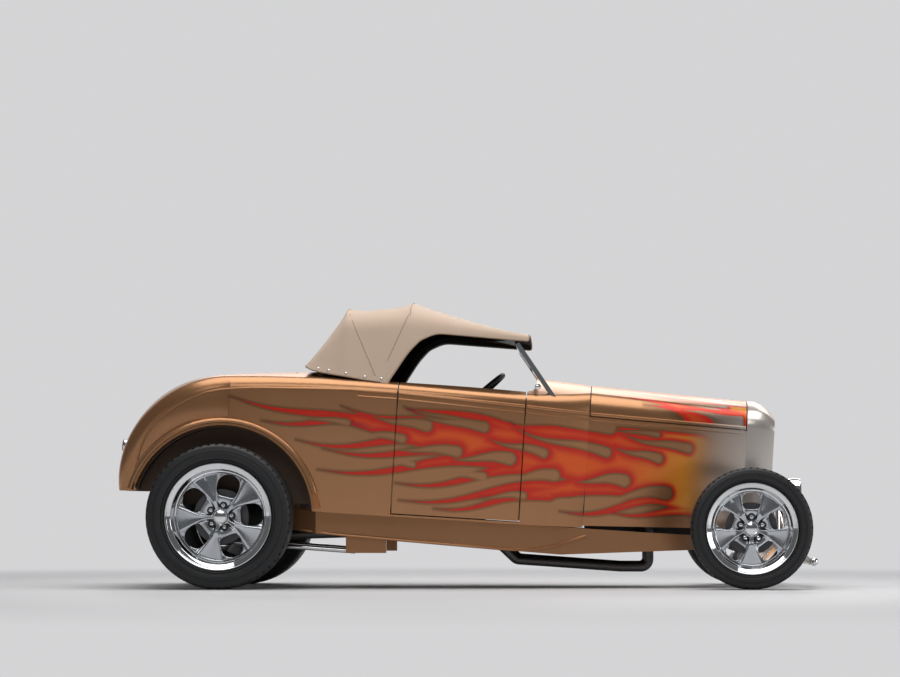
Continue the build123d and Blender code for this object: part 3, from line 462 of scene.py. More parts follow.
# Plain finishes: colour, metallic, roughness, then grain scale, variation, spread, depth
PLAIN = {
    "chrome": ((0.78, 0.79, 0.80), 1.0, 0.07, 60, 0.06, 0.05, 0),
    "polished_alloy": ((0.56, 0.58, 0.61), 1.0, 0.20, 90, 0.08, 0.10, 0),
    "brake_iron": ((0.11, 0.11, 0.115), 0.9, 0.42, 160, 0.35, 0.15, 0.0002),
    "spring_steel": ((0.30, 0.30, 0.31), 1.0, 0.30, 160, 0.25, 0.15, 0.0002),
    "exhaust_steel": ((0.10, 0.098, 0.095), 0.9, 0.42, 70, 0.5, 0.2, 0.0002),
    "cast_iron": ((0.065, 0.062, 0.06), 0.6, 0.62, 240, 0.5, 0.2, 0.0006),
    "satin_black": ((0.018, 0.018, 0.019), 0.0, 0.48, 260, 0.4, 0.1, 0.0002),
    "rubber": ((0.011, 0.0115, 0.013), 0.0, 0.55, 320, 0.5, 0.14, 0.0003),
    "leather": ((0.34, 0.21, 0.125), 0.0, 0.52, 420, 0.3, 0.14, 0.0005),
    # The inner face of the fabric top is near black: a lining whose black also stands in as painted shade
    # inside the top.
    "lining_painted_shade": ((0.012, 0.011, 0.011), 0.0, 0.9, 700, 0.6, 0.05, 0.0006),
    "binding": ((0.36, 0.265, 0.19), 0.0, 0.8, 900, 0.5, 0.1, 0.0005),
    "tub_brown": ((0.085, 0.050, 0.030), 0.3, 0.5, 180, 0.4, 0.1, 0.0002),
}
FINISHES = {}


def finish(name):
    """Finish by name, made on first use."""
    if name not in FINISHES:
        if name in PLAIN:
            colour, metallic, roughness, scale, variation, spread, depth = PLAIN[name]
            material, shader, w = new_finish(name, metallic)
            grained(shader, w, rgba(colour), roughness, scale, variation, spread, depth)
        else:
            material = MAKERS[name](name)
        FINISHES[name] = material
    return FINISHES[name]


def base_paint(w, along):
    """Bronze that fades to champagne towards the nose."""
    paint = bpy.context.scene.roadster_paint
    return w.mix(w.ramp(along, *NOSE_FADE), rgba(paint.bronze), rgba(paint.silver))


def flame_colour(w, field, along, base, ends):
    """Flame colours over the base colour: edge, core, front and tips."""
    paint = bpy.context.scene.roadster_paint
    distance, tip = field
    core = w.mix(w.ramp(distance, 0.004, 0.052), rgba(paint.red), rgba(paint.orange))
    front = w.math("MULTIPLY", w.ramp(along, *FRONT_FADE), w.ramp(distance, 0.002, 0.030))
    core = w.mix(front, core, rgba(paint.yellow))
    core = w.mix(w.math("MULTIPLY", w.ramp(tip, 0.80, 1.0), 0.70), core, rgba(paint.tip))
    shade = w.math("MULTIPLY", w.ramp(distance, -0.017, 0.0), 0.50)
    dark = w.mix(shade, base, rgba(FLAME_SHADE))
    cover = w.ramp(distance, -0.0012, 0.0016)
    fade = w.math("SUBTRACT", 1.0, w.ramp(along, *ends))
    painted = w.mix(cover, dark, core)
    return w.mix(fade, base, painted), w.math("MULTIPLY", cover, fade)


def outer_only(w, distance, outward):
    """Keep the flames off the inner faces of a panel."""
    outer = w.math("GREATER_THAN", outward, 0.0)
    return w.math("MULTIPLY_ADD", outer, w.math("ADD", distance, 1.0), -1.0)


def paint_finish(name):
    """Satin metallic paint: plain, or with the side or hood flames on its outer faces."""
    material, shader, w = new_finish(name, PAINT_METALLIC, PAINT_COAT)
    shader.inputs["Specular Tint"].default_value = rgba(PAINT_TINT)
    axes = w.split(w.raked(w.coords()))
    base = base_paint(w, axes["X"])
    if name != "body_paint":
        normal = w.split(w.tree.nodes.new("ShaderNodeTexCoord").outputs["Normal"])
        if name == "flame_paint":
            height, end = axes["Z"], SIDE_FLAME_END
            outward = w.math("MULTIPLY", normal["Y"], axes["Y"])
        else:
            height, end = w.math("ABSOLUTE", axes["Y"]), HOOD_FLAME_END
            outward = normal["Z"]
        field = w.group(shared(FLAMES[name]), {"X": axes["X"], "Z": height})
        distance = outer_only(w, field["Distance"], outward)
        base, cover = flame_colour(w, (distance, field["Tip"]), axes["X"], base, end)
        change = FLAME_METALLIC - PAINT_METALLIC
        w.put(w.math("MULTIPLY_ADD", cover, change, PAINT_METALLIC), shader.inputs["Metallic"])
    grained(shader, w, base, 0.29, 1400, 0.16, 0.06, 0)
    return material


def canvas_finish(name):
    """Woven canvas: crossed threads, soft blotches and a light fuzz."""
    material, shader, w = new_finish(name)
    shader.inputs["Sheen Weight"].default_value = 0.25
    place = w.coords()
    heights = []
    for axis in ("X", "Y"):
        wave = w.tree.nodes.new("ShaderNodeTexWave")
        wave.bands_direction = axis
        wave.inputs["Scale"].default_value = 260
        wave.inputs["Distortion"].default_value = 0.6
        w.put(place, wave.inputs["Vector"])
        heights.append(wave.outputs["Fac"])
    weave = w.math("MAXIMUM", heights[0], heights[1])
    blotch = w.noise(place, 9.0)
    tone = w.math("MULTIPLY_ADD", blotch, 0.22, w.math("MULTIPLY_ADD", weave, 0.10, 0.80))
    canvas = bpy.context.scene.roadster_top.canvas
    dark = [c * 0.55 for c in canvas]
    light = [min(c * 1.18, 1) for c in canvas]
    w.put(w.mix(tone, rgba(dark), rgba(light)), shader.inputs["Base Color"])
    shader.inputs["Roughness"].default_value = 0.88
    bump = w.tree.nodes.new("ShaderNodeBump")
    bump.inputs["Strength"].default_value = 0.35
    bump.inputs["Distance"].default_value = 0.0006
    w.put(weave, bump.inputs["Height"])
    w.put(bump.outputs[0], shader.inputs["Normal"])
    return material


GLASS_TINTS = {
    "clear_glass": (0.93, 0.96, 0.95),
    "lens_glass": (0.95, 0.96, 0.97),
    "red_lens": (0.55, 0.012, 0.010),
}


def glass_finish(name):
    """Clear or coloured glass with a faint variation in tint."""
    material, shader, w = new_finish(name)
    shader.inputs["Transmission Weight"].default_value = 0.55 if name == "red_lens" else 1.0
    shader.inputs["IOR"].default_value = 1.03 if name == "clear_glass" else 1.45
    shader.inputs["Roughness"].default_value = 0.03
    tone = w.math("MULTIPLY_ADD", w.noise(w.coords(), 14.0), 0.08, 0.46)
    tint = GLASS_TINTS[name]
    w.put(w.mix(tone, rgba([c * 0.9 for c in tint]), rgba(tint)), shader.inputs["Base Color"])
    return material


MAKERS = {
    "flame_paint": paint_finish,
    "hood_paint": paint_finish,
    "body_paint": paint_finish,
    "canvas": canvas_finish,
    "clear_glass": glass_finish,
    "lens_glass": glass_finish,
    "red_lens": glass_finish,
}

# Finish of each CAD node that stays as it is
NODE_FINISHES = {
    "flame_paint": ["door_left", "door_right", "cowl", "rear_body", "hood_side_left", "hood_side_right"],
    "hood_paint": ["hood_top"],
    "body_paint": ["deck_lid", "sills", "grille_shell", "frame_rails", "crossmembers", "dashboard",
                   "link_brackets"],
    "tub_brown": ["wheel_tubs", "floor_pan", "firewall", "boot_floor"],
    "chrome": ["windscreen_frame", "rear_link_bars", "front_axle", "headlamps", "spreader_bar", "tie_rod",
               "rear_coilovers", "steering_column", "grille_insert"],
    "polished_alloy": ["knuckle_left", "knuckle_right"],
    "brake_iron": [f"brake_disc_{end}_{side}" for end in WHEEL_SIZES for side, _ in SIDES],
    "exhaust_steel": ["exhaust_pipes"],
    "cast_iron": ["engine_block", "gearbox_and_shaft", "rear_axle", "radiator"],
    # The top's side rails are satin black: a weatherstrip whose black also stands in as painted shade inside
    # the top.
    "satin_black": ["front_leaf_spring", "top_side_rails", "steering_wheel"],
    "clear_glass": ["windscreen_glass"],
    "lens_glass": ["headlamp_lenses"],
    "red_lens": ["tail_lamps"],
}


# Modelling helpers


def deselect():
    """Leave edit mode with nothing selected."""
    if bpy.context.object and bpy.context.object.mode != "OBJECT":
        bpy.ops.object.mode_set(mode="OBJECT")
    bpy.ops.object.select_all(action="DESELECT")


def activate(piece):
    """Select one piece alone."""
    deselect()
    piece.select_set(True)
    bpy.context.view_layer.objects.active = piece


def added(name):
    """Name the primitive that was just added and put its place in its mesh."""
    piece = bpy.context.object
    piece.name = piece.data.name = name
    bpy.ops.object.transform_apply(location=True, rotation=True, scale=True)
    return piece


def edit(mode="VERT"):
    """Enter edit mode with all selected."""
    bpy.ops.object.mode_set(mode="EDIT")
    bpy.ops.mesh.select_mode(type=mode)
    bpy.ops.mesh.select_all(action="SELECT")


def pick_faces(piece, test):
    """Select the faces whose centre passes a test, and enter edit mode."""
    bpy.ops.object.mode_set(mode="EDIT")
    bpy.ops.mesh.select_mode(type="FACE")
    bpy.ops.mesh.select_all(action="DESELECT")
    bpy.ops.object.mode_set(mode="OBJECT")
    for face in piece.data.polygons:
        face.select = bool(test(face.center))
    bpy.ops.object.mode_set(mode="EDIT")


def tidy_mesh():
    """Merge doubles, point the faces outwards and leave edit mode."""
    edit()
    bpy.ops.mesh.remove_doubles(threshold=0.00002)
    bpy.ops.mesh.normals_make_consistent(inside=False)
    bpy.ops.object.mode_set(mode="OBJECT")


def applied(piece, kind, **values):
    """Add a modifier, set it and apply it."""
    activate(piece)
    bpy.ops.object.modifier_add(type=kind)
    modifier = piece.modifiers[-1]
    for label, value in values.items():
        setattr(modifier, label, value)
    bpy.ops.object.modifier_apply(modifier=modifier.name)


def coated(piece, *names):
    """Give a piece its finishes."""
    piece.data.materials.clear()
    for name in names:
        piece.data.materials.append(finish(name))
    return piece


def smoothed(piece, body, angle=35):
    """Smooth a piece and let it ride on a body."""
    activate(piece)
    bpy.ops.object.shade_smooth_by_angle(angle=math.radians(angle))
    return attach(piece, body)


def dressed(piece, material, body, angle=35):
    """Smooth a piece, give it its finish and let it ride on a body."""
    return smoothed(coated(piece, material), body, angle)


def turned(name, rows, centre, steps, axis=(0, 1, 0), closed=False):
    """Ring about an axis through a centre, pulled row by row to (radius, out)."""
    deselect()
    radius, out = rows[0]
    bpy.ops.mesh.primitive_circle_add(
        vertices=steps, radius=radius, location=(0, out, 0), rotation=(math.pi / 2, 0, 0)
    )
    piece = added(name)
    edit()
    for row_radius, row_out in rows[1:]:
        bpy.ops.mesh.extrude_edges_move(TRANSFORM_OT_translate={"value": (0, row_out - out, 0)})
        ratio = row_radius / radius
        if abs(ratio - 1) > 1e-6:
            bpy.ops.transform.resize(value=(ratio, 1, ratio), center_override=(0, row_out, 0))
        radius, out = row_radius, row_out
    if not closed and radius < 0.002:
        bpy.ops.mesh.merge(type="CENTER")
    tidy_mesh()
    turn = Vector((0, 1, 0)).rotation_difference(Vector(axis)).to_matrix().to_4x4()
    piece.data.transform(Matrix.Translation(centre) @ turn)
    return piece


def bar_along(name, points, radius, sides=3, closed=False):
    """Round bar along a smooth path."""
    deselect()
    bpy.ops.curve.primitive_nurbs_path_add()
    piece = bpy.context.object
    piece.name = piece.data.name = name
    spline = piece.data.splines[0]
    piece.data.splines.remove(spline)
    spline = piece.data.splines.new("NURBS")
    spline.points.add(len(points) - 1)
    for point, place in zip(spline.points, points):
        point.co = (*place, 1.0)
    spline.order_u = 3
    spline.use_endpoint_u = not closed
    spline.use_cyclic_u = closed
    spline.resolution_u = 4
    piece.data.bevel_depth = radius
    piece.data.bevel_resolution = sides
    piece.data.use_fill_caps = True
    bpy.ops.object.convert(target="MESH")
    piece = bpy.context.object
    tidy_mesh()
    return piece


def joined(name, pieces):
    """Join pieces into one."""
    deselect()
    for piece in pieces:
        piece.select_set(True)
    bpy.context.view_layer.objects.active = pieces[0]
    if len(pieces) > 1:
        bpy.ops.object.join()
    piece = bpy.context.object
    piece.name = piece.data.name = name
    return piece


def raked(xb, y, zb):
    """Point of the raked body frame, in the car's frame."""
    c, s = math.cos(RAKE), math.sin(RAKE)
    return Vector((xb * c + zb * s, y, zb * c - xb * s))


def body_side(node, xb, zb, side, sink=0.0):
    """Point on a panel's outer face at xb and zb, sunk in by sink."""
    start = raked(xb, 0, zb)
    start.y = side * 2.0
    hit, spot, _, _ = NODES[node].ray_cast(start, Vector((0, -side, 0)))
    if not hit:
        return None
    spot.y -= side * sink
    return spot


def ease(share):
    """Smooth step from 0 to 1."""
    share = min(max(share, 0.0), 1.0)
    return share * share * (3 - 2 * share)


def between(table, x):
    """Value at x in a table of (x, value) pairs that rises in x."""
    for (x0, v0), (x1, v1) in zip(table, table[1:]):
        if x <= x1:
            share = max(0.0, (x - x0) / (x1 - x0))
            return v0 + (v1 - v0) * share
    return table[-1][1]


# Operators


class ROADSTER_OT_stage(bpy.types.Operator):
    """Floor, backdrop, light and camera."""

    bl_idname = "roadster.stage"
    bl_label = "Stage"

    def execute(self, context):
        stage = context.scene.roadster_stage
        deselect()
        bpy.ops.mesh.primitive_plane_add(size=FLOOR_SIZE, location=(0, 0, 0))
        floor = added("studio_floor")
        edit("EDGE")
        bpy.ops.mesh.select_all(action="DESELECT")
        bpy.ops.object.mode_set(mode="OBJECT")
        for edge in floor.data.edges:
            edge.select = all(floor.data.vertices[v].co.y > FLOOR_SIZE / 3 for v in edge.vertices)
        bpy.ops.object.mode_set(mode="EDIT")
        bpy.ops.mesh.extrude_region_move(TRANSFORM_OT_translate={"value": (0, 0, BACKDROP_HEIGHT)})
        bpy.ops.object.mode_set(mode="OBJECT")
        applied(floor, "BEVEL", width=6.0, segments=10, limit_method="ANGLE")
        bpy.ops.object.shade_smooth()
        material, shader, w = new_finish("studio_paper")
        tone = w.math("MULTIPLY_ADD", w.noise(w.coords(), 0.6), 0.04, 0.48)
        pale = rgba(stage.floor)
        w.put(w.mix(tone, rgba([c * 0.97 for c in stage.floor]), pale), shader.inputs["Base Color"])
        shader.inputs["Roughness"].default_value = 0.55
        self.glow(material, shader, w, pale)
        floor.data.materials.append(material)

        world = bpy.data.worlds.new("studio")
        world.use_nodes = True
        world.node_tree.nodes["Background"].inputs["Color"].default_value = (0.80, 0.81, 0.83, 1)
        world.node_tree.nodes["Background"].inputs["Strength"].default_value = 0.14
        context.scene.world = world
        for name, place, aim, width, depth, share in LAMPS:
            lamp = bpy.data.lights.new(name, "AREA")
            lamp.shape = "RECTANGLE"
            lamp.size, lamp.size_y, lamp.energy = width, depth, stage.key * share
            holder = bpy.data.objects.new(name, lamp)
            holder.location = place
            holder.rotation_euler = (Vector(aim) - Vector(place)).to_track_quat("-Z", "Y").to_euler()
            context.scene.collection.objects.link(holder)

        camera = bpy.data.cameras.new("photo_camera")
        camera.sensor_width = 36
        camera.lens = stage.lens
        camera.clip_end = 200
        holder = bpy.data.objects.new("photo_camera", camera)
        holder.location = CAMERA_PLACE
        holder.rotation_euler = Vector(CAMERA_AIM).to_track_quat("-Z", "Y").to_euler()
        context.scene.collection.objects.link(holder)
        context.scene.camera = holder
        context.scene.view_settings.view_transform = "Standard"
        return {"FINISHED"}

    def glow(self, material, shader, w, pale):
        """Let the far floor and the backdrop show pale to the camera, in metal and through glass."""
        nodes = material.node_tree.nodes
        path = nodes.new("ShaderNodeLightPath").outputs
        seen = w.math("MAXIMUM", path["Is Camera Ray"], path["Is Glossy Ray"])
        seen = w.math("MAXIMUM", seen, path["Is Transmission Ray"])
        axes = w.split(w.coords())
        square = w.math("MULTIPLY_ADD", axes["X"], axes["X"], w.math("MULTIPLY", axes["Y"], axes["Y"]))
        far = w.ramp(w.math("SQRT", square), *GLOW_RADIUS)
        share = w.math("MULTIPLY", seen, w.math("MAXIMUM", far, w.ramp(axes["Z"], *GLOW_HEIGHT)))
        light = nodes.new("ShaderNodeEmission")
        light.inputs["Color"].default_value = pale
        blend = nodes.new("ShaderNodeMixShader")
        w.put(share, blend.inputs[0])
        w.put(shader.outputs[0], blend.inputs[1])
        w.put(light.outputs[0], blend.inputs[2])
        w.put(blend.outputs[0], nodes["Material Output"].inputs["Surface"])


class ROADSTER_OT_panels(bpy.types.Operator):
    """Paint and metal finishes on the CAD nodes that stay."""

    bl_idname = "roadster.panels"
    bl_label = "Panels and metal"

    def execute(self, context):
        for name, nodes in NODE_FINISHES.items():
            for node in nodes:
                mesh = NODES[node].data
                mesh.materials.clear()
                mesh.materials.append(finish(name))
        return {"FINISHED"}


def tyre_rows(size, tread):
    """Closed profile of a tyre: seat, bead, sidewall, shoulder and grooved tread."""
    lip, half, crown, top = size["lip"], size["half"], size["width"] / 2, size["tyre"]
    high = top - 0.014 - lip
    outer = [
        (size["seat"] + 0.0004, half - 0.018),
        (lip + 0.0015, half - 0.0108),
        (lip + 0.004, half - 0.003),
        (lip + 0.009, half + 0.003),
        (lip + 0.013, half + 0.0035),
        (lip + 0.016, half + 0.002),
        (lip + 0.24 * high, crown - 0.006),
        (lip + 0.40 * high, crown - 0.0015),
        (lip + 0.55 * high, crown - 0.001),
        (lip + 0.63 * high, crown - 0.002),
        (lip + 0.65 * high, crown - 0.0042),
        (lip + 0.70 * high, crown - 0.0045),
        (lip + 0.72 * high, crown - 0.0028),
        (lip + 0.88 * high, crown - 0.006),
        (top - 0.017, crown - 0.0075),
        (top - 0.014, crown - 0.0085),
        (top - 0.006, crown - 0.018),
        (top - 0.0012, crown - 0.030),
    ]
    middle = []
    edge = crown - 0.030
    groove = 0.0045
    for share in (0.72, 0.26, -0.26, -0.72):
        at = share * edge
        middle += [(top, at + groove), (top - tread, at + groove * 0.6)]
        middle += [(top - tread, at - groove * 0.6), (top, at - groove)]
    inner = [(radius, -out) for radius, out in reversed(outer)]
    return outer + middle + inner + [outer[0]]


class ROADSTER_OT_tyres(bpy.types.Operator):
    """Road tyres with grooves and shoulder blocks."""

    bl_idname = "roadster.tyres"
    bl_label = "Tyres"

    def execute(self, context):
        wheels = context.scene.roadster_wheels
        for end, size in WHEEL_SIZES.items():
            for side, _ in SIDES:
                node = f"tyre_{end}_{side}"
                low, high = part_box(node)
                centre = (low + high) / 2
                rows = tyre_rows(size, wheels.tread)
                piece = turned(f"road_{node}", rows, centre, wheels.steps, closed=True)
                crown, top = size["width"] / 2, size["tyre"]

                def on_block(middle):
                    out = abs(middle.y - centre.y)
                    radius = math.hypot(middle.x - centre.x, middle.z - centre.z)
                    turn = math.atan2(middle.z - centre.z, middle.x - centre.x) / math.tau
                    slot = int((turn + 1) * wheels.steps) % 3
                    return radius > top - 0.0145 and crown - 0.034 < out < crown - 0.007 and slot == 0

                pick_faces(piece, on_block)
                bpy.ops.mesh.extrude_region_shrink_fatten(
                    TRANSFORM_OT_shrink_fatten={"value": -wheels.tread * 0.6}
                )
                bpy.ops.object.mode_set(mode="OBJECT")
                dressed(piece, "rubber", f"{end}_{side}_wheel", 40)
                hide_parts(node)
        return {"FINISHED"}


SPOKES = 5
WINDOW_POINTS = 44
LUG_CIRCLE = 0.058


def face_out(size, radius, angle):
    """How far out the wheel's face stands at a radius and angle: spokes with channels between."""
    inner, outer, width = size["window"]
    level = between([(0.030, 0.027), (0.060, 0.028), (0.085, 0.035), (size["barrel"], 0.027)], radius)
    swing = (angle - size["turn"]) % (math.tau / SPOKES)
    arc = min(swing, math.tau / SPOKES - swing) * radius
    mouth = between([(0.040, 0.017), (inner, 0.40 * width), (outer, 0.56 * width)], radius)
    channel = ease((mouth * 1.12 - arc) / (0.42 * mouth)) * ease((radius - 0.040) / 0.014)
    spoke = max(radius * math.pi / SPOKES - mouth, 0.004)
    across = min((radius * math.pi / SPOKES - arc) / spoke, 1.0)
    hollow = 0.004 * (1 - across * across) * ease((radius - 0.075) / 0.03)
    return size["pad"] + level - 0.012 * channel - hollow


def window_outline(size, index):
    """Radius and angle of points around one window of a wheel."""
    inner, outer, width = size["window"]
    points = []
    for k in range(WINDOW_POINTS):
        turn = math.tau * k / WINDOW_POINTS
        along = math.copysign(abs(math.cos(turn)) ** 0.72, math.cos(turn))
        side = math.copysign(abs(math.sin(turn)) ** 0.80, math.sin(turn))
        radius = (inner + outer) / 2 + (outer - inner) / 2 * along
        half = width / 2 * (0.93 + 0.07 * along)
        points.append((radius, size["turn"] + index * math.tau / SPOKES + half * side / radius))
    return points


def polar(centre, radius, angle, out):
    """Point at a radius and angle about the car's Y axis."""
    return Vector(centre) + Vector((radius * math.cos(angle), out, radius * math.sin(angle)))


def rim_rows(size):
    """Closed profile of a rim: stepped outer lip, dish, back of the barrel."""
    lip, seat, barrel, half = size["lip"], size["seat"], size["barrel"], size["half"]
    face = size["pad"] + 0.026
    front = [
        (seat, half - 0.017), (lip - 0.001, half - 0.0105), (lip, half - 0.009), (lip, half - 0.0015),
        (lip - 0.0015, half), (lip - 0.005, half), (lip - 0.0075, half - 0.002), (lip - 0.0085, half - 0.006),
        (lip - 0.0115, half - 0.0062), (lip - 0.0135, half - 0.008), (barrel + 0.004, half - 0.0145),
        (barrel + 0.001, half - 0.018), (barrel - 0.001, half - 0.024), (barrel - 0.007, face + 0.040),
        (barrel - 0.009, face + 0.030), (barrel - 0.014, face + 0.027), (barrel - 0.0165, face + 0.021),
        (barrel - 0.0215, face + 0.016), (barrel - 0.0235, face + 0.004), (barrel - 0.0235, face - 0.018),
    ]
    back = [
        (barrel - 0.004, face - 0.026), (barrel - 0.004, 0.020 - half), (lip - 0.010, 0.003 - half),
        (lip - 0.004, -half), (lip, 0.002 - half), (lip, 0.010 - half), (seat, 0.017 - half),
    ]
    return front + back + [front[0]]


class ROADSTER_OT_wheels(bpy.types.Operator):
    """Polished five-window wheels with lugs and bare centre caps."""

    bl_idname = "roadster.wheels"
    bl_label = "Wheels"

    def execute(self, context):
        for end, size in WHEEL_SIZES.items():
            for side, sign in SIDES:
                node = f"tyre_{end}_{side}"
                low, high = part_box(node)
                self.make(end, side, sign, size, (low + high) / 2)
        return {"FINISHED"}

    def make(self, end, side, sign, size, centre):
        """One wheel: rim, face, window beads, lugs, cap and valve."""
        name = f"{end}_{side}"
        rows = [(radius, sign * out) for radius, out in rim_rows(size)]
        rim = coated(turned(f"rim_{name}", rows, centre, 144, closed=True), "chrome")
        edge = size["barrel"] - 0.020
        radii = [0.029 + (edge - 0.029) * k / 22 for k in range(23)]
        face = turned(f"face_{name}", [(radius, 0.0) for radius in radii], centre, 240, closed=True)
        for vertex in face.data.vertices:
            off = vertex.co - Vector(centre)
            vertex.co.y += sign * face_out(size, math.hypot(off.x, off.z), math.atan2(off.z, off.x))
        activate(face)
        if sum(polygon.normal.y for polygon in face.data.polygons) * sign < 0:
            edit()
            bpy.ops.mesh.flip_normals()
            bpy.ops.object.mode_set(mode="OBJECT")
        applied(face, "SOLIDIFY", thickness=0.015, offset=-1)
        cutters = [self.window(size, index, centre, sign) for index in range(SPOKES)]
        cutter = joined("window_cutter", cutters)
        applied(face, "BOOLEAN", operation="DIFFERENCE", object=cutter, solver="EXACT")
        bpy.data.objects.remove(cutter)
        coated(face, "polished_alloy")
        parts = [rim, face]
        for index in range(SPOKES):
            outline = []
            for radius, angle in window_outline(size, index):
                out = sign * (face_out(size, radius, angle) - 0.0022)
                outline.append(polar(centre, radius, angle, out))
            bead = bar_along(f"bead_{name}_{index}", outline, 0.0026, 2, closed=True)
            parts.append(coated(bead, "polished_alloy"))
            parts += self.lug(size, index, centre, sign)
        parts += self.cap(size, centre, sign)
        angle = size["turn"] + math.pi / SPOKES
        start = polar(centre, size["barrel"] - 0.016, angle, sign * (size["pad"] + 0.050))
        tip = polar(centre, size["barrel"] - 0.040, angle, sign * (size["pad"] + 0.066))
        valve = bar_along(f"valve_{name}", [start, (start + tip) / 2, tip], 0.0042)
        parts.append(coated(valve, "chrome"))
        wheel = smoothed(joined(f"polished_wheel_{name}", parts), f"{name}_wheel", 30)
        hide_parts(f"wheel_{name}")

    def window(self, size, index, centre, sign):
        """Prism that cuts one window."""
        deselect()
        bpy.ops.mesh.primitive_circle_add(vertices=WINDOW_POINTS, radius=1, fill_type="NGON")
        piece = added("window_prism")
        start = sign * (size["pad"] - 0.03)
        for vertex, (radius, angle) in zip(piece.data.vertices, window_outline(size, index)):
            vertex.co = polar(centre, radius, angle, start)
        edit("FACE")
        bpy.ops.mesh.extrude_region_move(TRANSFORM_OT_translate={"value": (0, sign * 0.09, 0)})
        tidy_mesh()
        return piece

    def lug(self, size, index, centre, sign):
        """Domed nut in a dark seat, in line with a window."""
        angle = size["turn"] + index * math.tau / SPOKES
        spot = polar(centre, LUG_CIRCLE, angle, sign * size["pad"])
        axis = (0, sign, 0)
        seat = [(0.0185, 0.014), (0.0185, 0.0245), (0.0165, 0.0255), (0.0140, 0.0235), (0.0110, 0.0225)]
        seat = turned("lug_seat", seat, spot, 24, axis, closed=True)
        nut = [(0.0108, 0.016), (0.0108, 0.031), (0.0098, 0.034), (0.0066, 0.0365), (0.0010, 0.0375)]
        nut = turned("lug_nut", nut, spot, 12, axis)
        return [coated(seat, "satin_black"), coated(nut, "chrome")]

    def cap(self, size, centre, sign):
        """Plain domed centre cap."""
        rows = [
            (0.040, 0.018), (0.040, 0.030), (0.0375, 0.033), (0.0365, 0.037), (0.0345, 0.0395),
            (0.0320, 0.0402), (0.0300, 0.0392), (0.0280, 0.0398), (0.0200, 0.0432), (0.0100, 0.0452),
            (0.0010, 0.0458),
        ]
        spot = Vector(centre) + Vector((0, sign * size["pad"], 0))
        return [coated(turned("centre_cap", rows, spot, 48, (0, sign, 0)), "chrome")]


# Fabric top: bow sections (x, low, low_half, belt, half, corner, corner_half, crown)
BOWS = [
    (0.330, 1.205, 0.536, 1.262, 0.522, 1.296, 0.468, 1.308),
    (-0.277, 1.020, 0.652, 1.330, 0.575, 1.444, 0.470, 1.487),
    (-0.440, 1.020, 0.664, 1.328, 0.580, 1.424, 0.470, 1.457),
    (-0.609, 1.030, 0.664, 1.320, 0.574, 1.420, 0.466, 1.457),
    (-0.814, 1.050, 0.640, 1.110, 0.582, 1.140, 0.470, 1.162),
]
WINDOW_EDGE = [
    (-0.404, 1.000), (-0.380, 1.064), (-0.287, 1.205), (-0.229, 1.268),
    (-0.160, 1.300), (-0.122, 1.305), (0.340, 1.266),
]
TOP_COLUMNS = 72
TOP_SPANS = (24, 8, 8, 20)
SEAM_RADIUS = 0.0024
BOW_SEAM_FROM = 1.40
QUARTER_SEAMS = [
    ("rear", (-0.590, 1.405), (-0.451, 1.086)),
    ("front", (-0.285, 1.405), (-0.392, 1.160)),
]
HEM_LINE = [
    (-0.814, 1.136), (-0.780, 1.118), (-0.740, 1.107), (-0.690, 1.097), (-0.600, 1.082),
    (-0.500, 1.064), (-0.400, 1.050),
]
SNAPS = [(-0.745, 1.124), (-0.690, 1.113), (-0.602, 1.098), (-0.505, 1.080), (-0.420, 1.070)]


def bow_section(x, sag):
    """Right half of the top's cross line at x, from the low edge to the crown."""
    index = next((i for i in range(len(BOWS) - 1) if x >= BOWS[i + 1][0]), len(BOWS) - 2)
    front, back = BOWS[index], BOWS[index + 1]
    share = (front[0] - x) / (front[0] - back[0])
    _, low, low_half, belt, half, corner, corner_half, crown = [
        a + (b - a) * share for a, b in zip(front, back)
    ]
    dip = sag * 4 * share * (1 - share)
    corner, crown = corner - dip, crown - dip * 1.2
    line = [(low_half + (half - low_half) * k / 12, low + (belt - low) * k / 12) for k in range(13)]
    bend = ((half + corner_half) / 2 + 0.032, (belt + corner) / 2 + 0.032)
    for k in range(1, 13):
        t = k / 12
        a, b, c = (1 - t) ** 2, 2 * t * (1 - t), t * t
        line.append((a * half + b * bend[0] + c * corner_half, a * belt + b * bend[1] + c * corner))
    for k in range(1, 17):
        t = k / 16
        y = corner_half * (1 - t)
        line.append((y, crown - (crown - corner) * (y / corner_half) ** 2))
    return line


def top_side(x, z, sag):
    """Half width of the fabric at x and z."""
    line = bow_section(x, sag)
    for (y0, z0), (y1, z1) in zip(line, line[1:]):
        if z1 >= z:
            return y0 + (y1 - y0) * max(0.0, (z - z0) / (z1 - z0))
    return line[-1][0]


def trimmed(line, edge):
    """Part of a cross line above its lower edge height."""
    for index, ((y0, z0), (y1, z1)) in enumerate(zip(line, line[1:])):
        if z1 > edge:
            share = max(0.0, (edge - z0) / (z1 - z0))
            return [(y0 + (y1 - y0) * share, z0 + (z1 - z0) * share)] + line[index + 1:]
    return line


def evenly(points, count):
    """Points spread evenly along a polyline."""
    lengths = [0.0]
    for a, b in zip(points, points[1:]):
        lengths.append(lengths[-1] + math.dist(a, b))
    spread = []
    index = 0
    for k in range(count):
        want = lengths[-1] * k / (count - 1)
        while index < len(points) - 2 and lengths[index + 1] < want:
            index += 1
        span = lengths[index + 1] - lengths[index]
        share = (want - lengths[index]) / span if span else 0
        spread.append([a + (b - a) * share for a, b in zip(points[index], points[index + 1])])
    return spread


